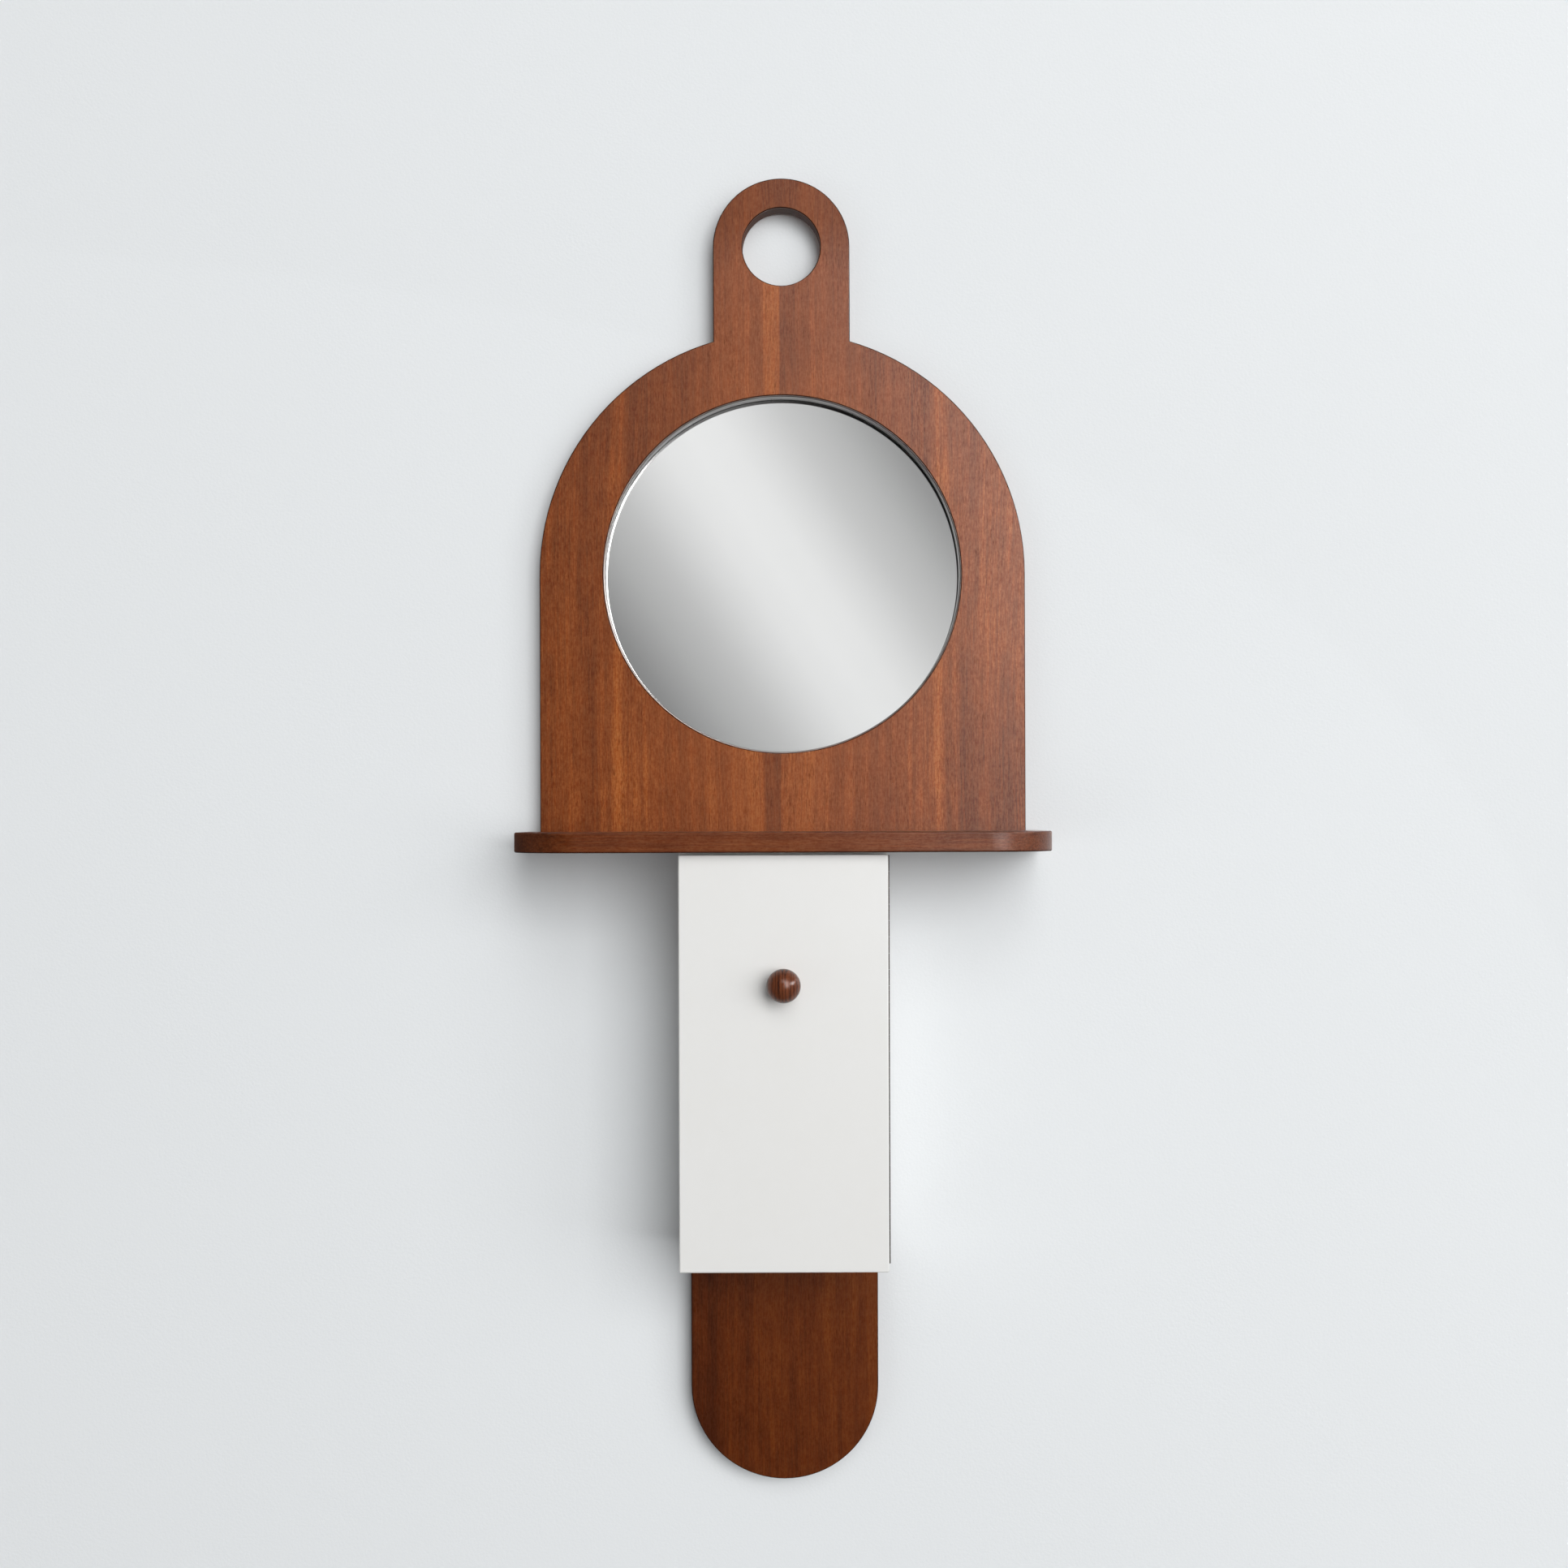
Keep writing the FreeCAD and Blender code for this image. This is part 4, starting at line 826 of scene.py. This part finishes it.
def islandCentres(node):
    # Middles of the separate pieces in a node, found by joining vertices that share an edge
    work = bmesh.new()
    work.from_mesh(frame["nodes"][node].data)
    bmesh.ops.remove_doubles(work, verts=work.verts, dist=meshRules["islandMerge"])
    left, centres = set(work.verts), []
    while left:
        island, queue = [], [left.pop()]
        while queue:
            vertex = queue.pop()
            island.append(vertex.co.copy())
            for edge in vertex.link_edges:
                other = edge.other_vert(vertex)
                if other in left:
                    left.remove(other)
                    queue.append(other)
        places = np.array(island)
        centres.append((places.min(0) + places.max(0)) / 2)
    work.free()
    return sorted(centres, key=lambda centre: (round(centre[2], 4), round(centre[0], 4)))


def joinMeshes(name, parts):
    work = bmesh.new()
    for part in parts:
        work.from_mesh(part)
        bpy.data.meshes.remove(part)
    mesh = bpy.data.meshes.new(name)
    work.to_mesh(mesh)
    work.free()
    return mesh


def makeWallPads():
    low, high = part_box("wall_pads")
    pads = []
    for number, centre in enumerate(islandCentres("wall_pads")):
        points = feltPoints((centre[0], low.y, centre[2]), high.y - low.y,
                            feltShape["phase"] * (number + 1.0))
        pads.append(gridMesh("feltPad", points))
    mesh = finishMesh(joinMeshes("feltWallPads", pads), finishes["felt"])
    return addPiece("felt_wall_pads", mesh, "frame", "felt", "wall_pads")


bumperShape = {"turnSteps": 48, "domeSteps": 12, "skirt": 0.30}


def makeBumpers():
    # Dome: a short straight skirt, then a quarter ellipse up to the crown
    radius, front, rear = roundBox("door_bumpers")[:3]
    height = rear - front
    skirt = height * bumperShape["skirt"]
    t = np.linspace(0.0, math.pi / 2, bumperShape["domeSteps"])
    profile = [(0.0, 0.0), (radius, 0.0)]
    profile += list(zip(radius * np.cos(t), -skirt - (height - skirt) * np.sin(t)))
    domes = []
    for centre in islandCentres("door_bumpers"):
        seat = (centre[0], front, centre[2])
        domes.append(gridMesh("dome", turnedPoints(profile, seat, bumperShape["turnSteps"])))
    mesh = finishMesh(joinMeshes("bumperDomes", domes), finishes["bumper_rubber"])
    return addPiece("bumper_domes", mesh, "door", "bumper_rubber", "door_bumpers")


cushionShape = {"turnSteps": 128, "chamferShare": 0.25}


def makeCushion():
    # Thin felt between the mirror and its backing board, its rims chamfered by a share of its thickness
    radius, front, rear, centre = roundBox("mirror_cushion")
    thickness = rear - front
    chamfer = thickness * cushionShape["chamferShare"]
    points = discPoints(radius, thickness, chamfer, centre, cushionShape["turnSteps"])
    mesh = gridMesh("feltDisc", points)
    piece = addPiece("felt_disc", finishMesh(mesh, finishes["felt"]), "frame", "felt", "mirror_cushion")
    return piece


makeKnob()
makeLiner()
makeMirror()
makeWallPads()
makeBumpers()
makeCushion()
print("new pieces made")


# Stage: wall, floor and the card that the mirror sees

wallLook = {"color": (0.798, 0.822, 0.836), "floorColor": (0.60, 0.61, 0.61), "halfWidth": 4.5,
            "top": 4.0, "floor": -1.35, "behind": 0.0005, "roughness": 0.8, "specular": 0.25,
            "stipple": 420.0, "slow": 1.3, "shade": 0.975, "bump": (0.30, 0.0005)}


def addStage(name, corners, material):
    mesh = bpy.data.meshes.new(name)
    mesh.from_pydata(corners, [], [tuple(range(len(corners)))])
    mesh.materials.append(material)
    piece = newObject(name, mesh)
    return piece


def paintedMaterial(name, color, hideRear):
    # Matt paint with a fine roller stipple; with hideRear it isn't there from behind
    material, tree, shader = newMaterial(name, Roughness=wallLook["roughness"],
                                         Specular_IOR_Level=wallLook["specular"])
    place = objectPlace(tree)
    stipple = cloud(tree, place, wallLook["stipple"], 3.0)
    slow = cloud(tree, place, wallLook["slow"])
    dark = tuple(value * wallLook["shade"] for value in color)
    dress(tree, shader, mixColor(tree, slow, rgb(dark), rgb(color)), height=stipple,
          bump=wallLook["bump"])
    if hideRear:
        output = next(node for node in tree.nodes if node.type == "OUTPUT_MATERIAL")
        painted = output.inputs[0].links[0].from_socket
        back = addNode(tree, "NewGeometry").outputs["Backfacing"]
        clear = addNode(tree, "BsdfTransparent").outputs[0]
        both = addNode(tree, "MixShader", {0: back, 1: painted, 2: clear}).outputs[0]
        tree.links.new(both, output.inputs[0])
    return material


wide, top, ground, behind = (wallLook[key] for key in ("halfWidth", "top", "floor", "behind"))
wallCorners = [(-wide, behind, ground), (wide, behind, ground), (wide, behind, top), (-wide, behind, top)]
wall = addStage("wall", wallCorners, paintedMaterial("wallPaint", wallLook["color"], True))
wall.visible_shadow = False
floorCorners = [(-wide, -wide * 2, ground), (wide, -wide * 2, ground), (wide, wide, ground),
                (-wide, wide, ground)]
floor = addStage("floor", floorCorners, paintedMaterial("floorPaint", wallLook["floorColor"], False))
for setting in ("visible_glossy", "visible_diffuse", "visible_transmission"):
    setattr(floor, setting, False)

cardLook = {"far": -4.3, "half": 1.6, "height": 0.82, "bandX": -0.007, "bandZ": 0.824, "slopeX": 0.836,
            "slopeZ": 0.549, "gain": 1.12, "gainX": 0.11, "gainZ": 0.12, "rimFrom": 0.55,
            "falloff": ((0.0, 0.775), (0.10, 0.745), (0.181, 0.665), (0.30, 0.520), (0.412, 0.425),
                        (0.545, 0.279), (0.80, 0.075), (1.0, 0.05))}


def cardMaterial():
    # A slanting bright band on grey, its brightness set by the distance from the band's middle line
    look, half = cardLook, cardLook["half"]
    material = bpy.data.materials.new("mirrorCard")
    tree = emptyTree(material)
    axes = axesOf(tree, addNode(tree, "TexCoord").outputs["Object"])
    fromX = times(tree, minus(tree, axes[0], look["bandX"]), look["slopeX"])
    fromZ = times(tree, minus(tree, axes[2], look["bandZ"]), look["slopeZ"])
    distance = calc(tree, "ABSOLUTE", total(tree, fromX, fromZ))
    above = minus(tree, axes[2], look["height"])
    gain = total(tree, look["gain"], times(tree, axes[0], look["gainX"]), times(tree, above, look["gainZ"]))
    glow = addNode(tree, "Emission", {0: curve(tree, distance, look["falloff"]), 1: gain}).outputs[0]
    clear = addNode(tree, "BsdfTransparent").outputs[0]
    away = calc(tree, "MAXIMUM", calc(tree, "ABSOLUTE", axes[0]), calc(tree, "ABSOLUTE", above))
    rim = rise(tree, away, half * look["rimFrom"], half)
    output = addNode(tree, "OutputMaterial")
    tree.links.new(addNode(tree, "MixShader", {0: rim, 1: glow, 2: clear}).outputs[0], output.inputs[0])
    return material


half, far, height = cardLook["half"], cardLook["far"], cardLook["height"]
card = addStage("mirror_card", [(-half, far, height - half), (half, far, height - half),
                                (half, far, height + half), (-half, far, height + half)], cardMaterial())
for setting in ("visible_camera", "visible_diffuse", "visible_glossy", "visible_shadow"):
    setattr(card, setting, False)
print("stage ready")


# Light and camera

lightLook = {
    "fill": 0.16, "background": 0.90, "duskShare": 0.8, "ahead": (-0.1, 0.1),
    "windowEnd": (0.40, 0.72), "windowGlow": 11.0, "lampGlow": 30.0, "skylightGlow": 4.0,
    "sheenTilt": 0.22, "sheenSide": (-0.12, 0.05), "sheenBase": 0.20, "sheenBehind": (0.0, 0.4),
    "sheenRear": 0.5, "rear": 2.4, "rearAngle": 20.0,
}
# Patches of the world: edges across, then edges upwards, each rise from, rise to, fall from, fall to
worldPatches = {
    "window": ((0.172, 0.272, 9.0, 10.0), (-0.15, 0.0, 0.45, 0.65)),
    "lamp": ((0.70, 0.80, 0.90, 0.97), (0.18, 0.26, 0.34, 0.44)),
    "skylight": ((-0.30, -0.15, 0.30, 0.45), (0.42, 0.50, 0.70, 0.80)),
    "dusk": ((-9.0, -8.0, -0.5, -0.3), (-0.45, -0.35, -0.12, -0.02)),
}
# Softboxes: azimuth to the right of straight in front, elevation, width, height, watts
softboxes = {"main": (20.0, 11.0, 6.0, 6.4, 680.0), "side": (51.0, 5.0, 4.0, 6.0, 195.0),
             "upper": (8.0, 38.0, 3.7, 3.7, 150.0), "bounce": (-48.0, -14.0, 6.0, 3.7, 85.0)}


def patch(tree, name, across, upward):
    # 1 inside a soft-edged window of two values, 0 outside
    sides = []
    for value, edges in zip((across, upward), worldPatches[name]):
        sides.append(times(tree, rise(tree, value, *edges[:2]),
                           oneMinus(tree, rise(tree, value, *edges[2:]))))
    return times(tree, *sides)


def makeWorld():
    # The fill is the same from all sides. The camera and the glass see the pale background, with a dusky
    # foot ahead. Gloss sees a dim studio: a bright window to the right, a lamp beyond it, a skylight above
    # and a pale rear.
    look = lightLook
    world = bpy.data.worlds.new("studio")
    bpy.context.scene.world = world
    tree = emptyTree(world)
    path = addNode(tree, "LightPath").outputs
    side, back, up = axesOf(tree, addNode(tree, "TexCoord").outputs["Generated"])
    slant = total(tree, side, times(tree, up, look["sheenTilt"]))
    ahead = oneMinus(tree, rise(tree, back, *look["ahead"]))
    window = times(tree, patch(tree, "window", slant, up),
                   oneMinus(tree, rise(tree, side, *look["windowEnd"])))
    bright = total(tree, times(tree, window, look["windowGlow"]),
                   times(tree, patch(tree, "lamp", side, up), look["lampGlow"]),
                   times(tree, patch(tree, "skylight", side, up), look["skylightGlow"]))
    sheen = total(tree, times(tree, bright, ahead),
                  times(tree, rise(tree, slant, *look["sheenSide"]), look["sheenBase"]),
                  times(tree, rise(tree, back, *look["sheenBehind"]), look["sheenRear"]))
    dusk = times(tree, patch(tree, "dusk", back, up), look["duskShare"])
    beyond = times(tree, look["background"], oneMinus(tree, dusk))
    glossy = times(tree, path["Is Glossy Ray"], oneMinus(tree, path["Is Transmission Ray"]))
    level = look["fill"]
    for share, value in ((path["Is Camera Ray"], look["background"]), (path["Is Transmission Ray"], beyond),
                         (glossy, sheen)):
        level = total(tree, level, times(tree, share, minus(tree, value, look["fill"])))
    light = addNode(tree, "Background", {0: rgb((1.0, 1.0, 1.0)), 1: level})
    tree.links.new(light.outputs[0], addNode(tree, "OutputWorld").inputs[0])


softboxDistance = 10.0


def makeSoftbox(name, azimuth, elevation, width, height, power):
    # A wide lamp aimed at the object
    turn, lift = math.radians(azimuth), math.radians(elevation)
    direction = Vector((math.sin(turn) * math.cos(lift), -math.cos(turn) * math.cos(lift), math.sin(lift)))
    data = bpy.data.lights.new(name, "AREA")
    data.shape = "RECTANGLE"
    data.size = width
    data.size_y = height
    data.energy = power
    lamp = newObject(name, data)
    lamp.location = direction * softboxDistance
    lamp.rotation_euler = (-direction).to_track_quat("-Z", "Y").to_euler()
    lamp.visible_glossy = False
    lamp.visible_transmission = False


def makeRearSun():
    # Reaches only what faces the wall, so the back can be seen from behind
    data = bpy.data.lights.new("rear", "SUN")
    data.energy, data.angle = lightLook["rear"], math.radians(lightLook["rearAngle"])
    lamp = newObject("rear", data)
    lamp.rotation_euler = Vector((0.0, -1.0, 0.0)).to_track_quat("-Z", "Y").to_euler()


cameraLook = {"place": (0.0009, -1.749, 0.0213), "lens": 42.30, "sensor": 36.0, "shiftUp": 0.0217,
              "rollDegrees": -0.19}


def makeCamera():
    data = bpy.data.cameras.new("camera")
    data.lens = cameraLook["lens"]
    data.sensor_width = cameraLook["sensor"]
    data.shift_y = cameraLook["shiftUp"]
    camera = newObject("camera", data)
    level = Matrix.Rotation(math.radians(90.0), 4, "X")
    roll = Matrix.Rotation(math.radians(cameraLook["rollDegrees"]), 4, "Z")
    camera.matrix_world = Matrix.Translation(cameraLook["place"]) @ level @ roll
    bpy.context.scene.camera = camera


makeWorld()
for name, numbers in softboxes.items():
    makeSoftbox(name, *numbers)
makeRearSun()
makeCamera()
bpy.context.scene.view_settings.view_transform = "Standard"
print("light and camera ready")
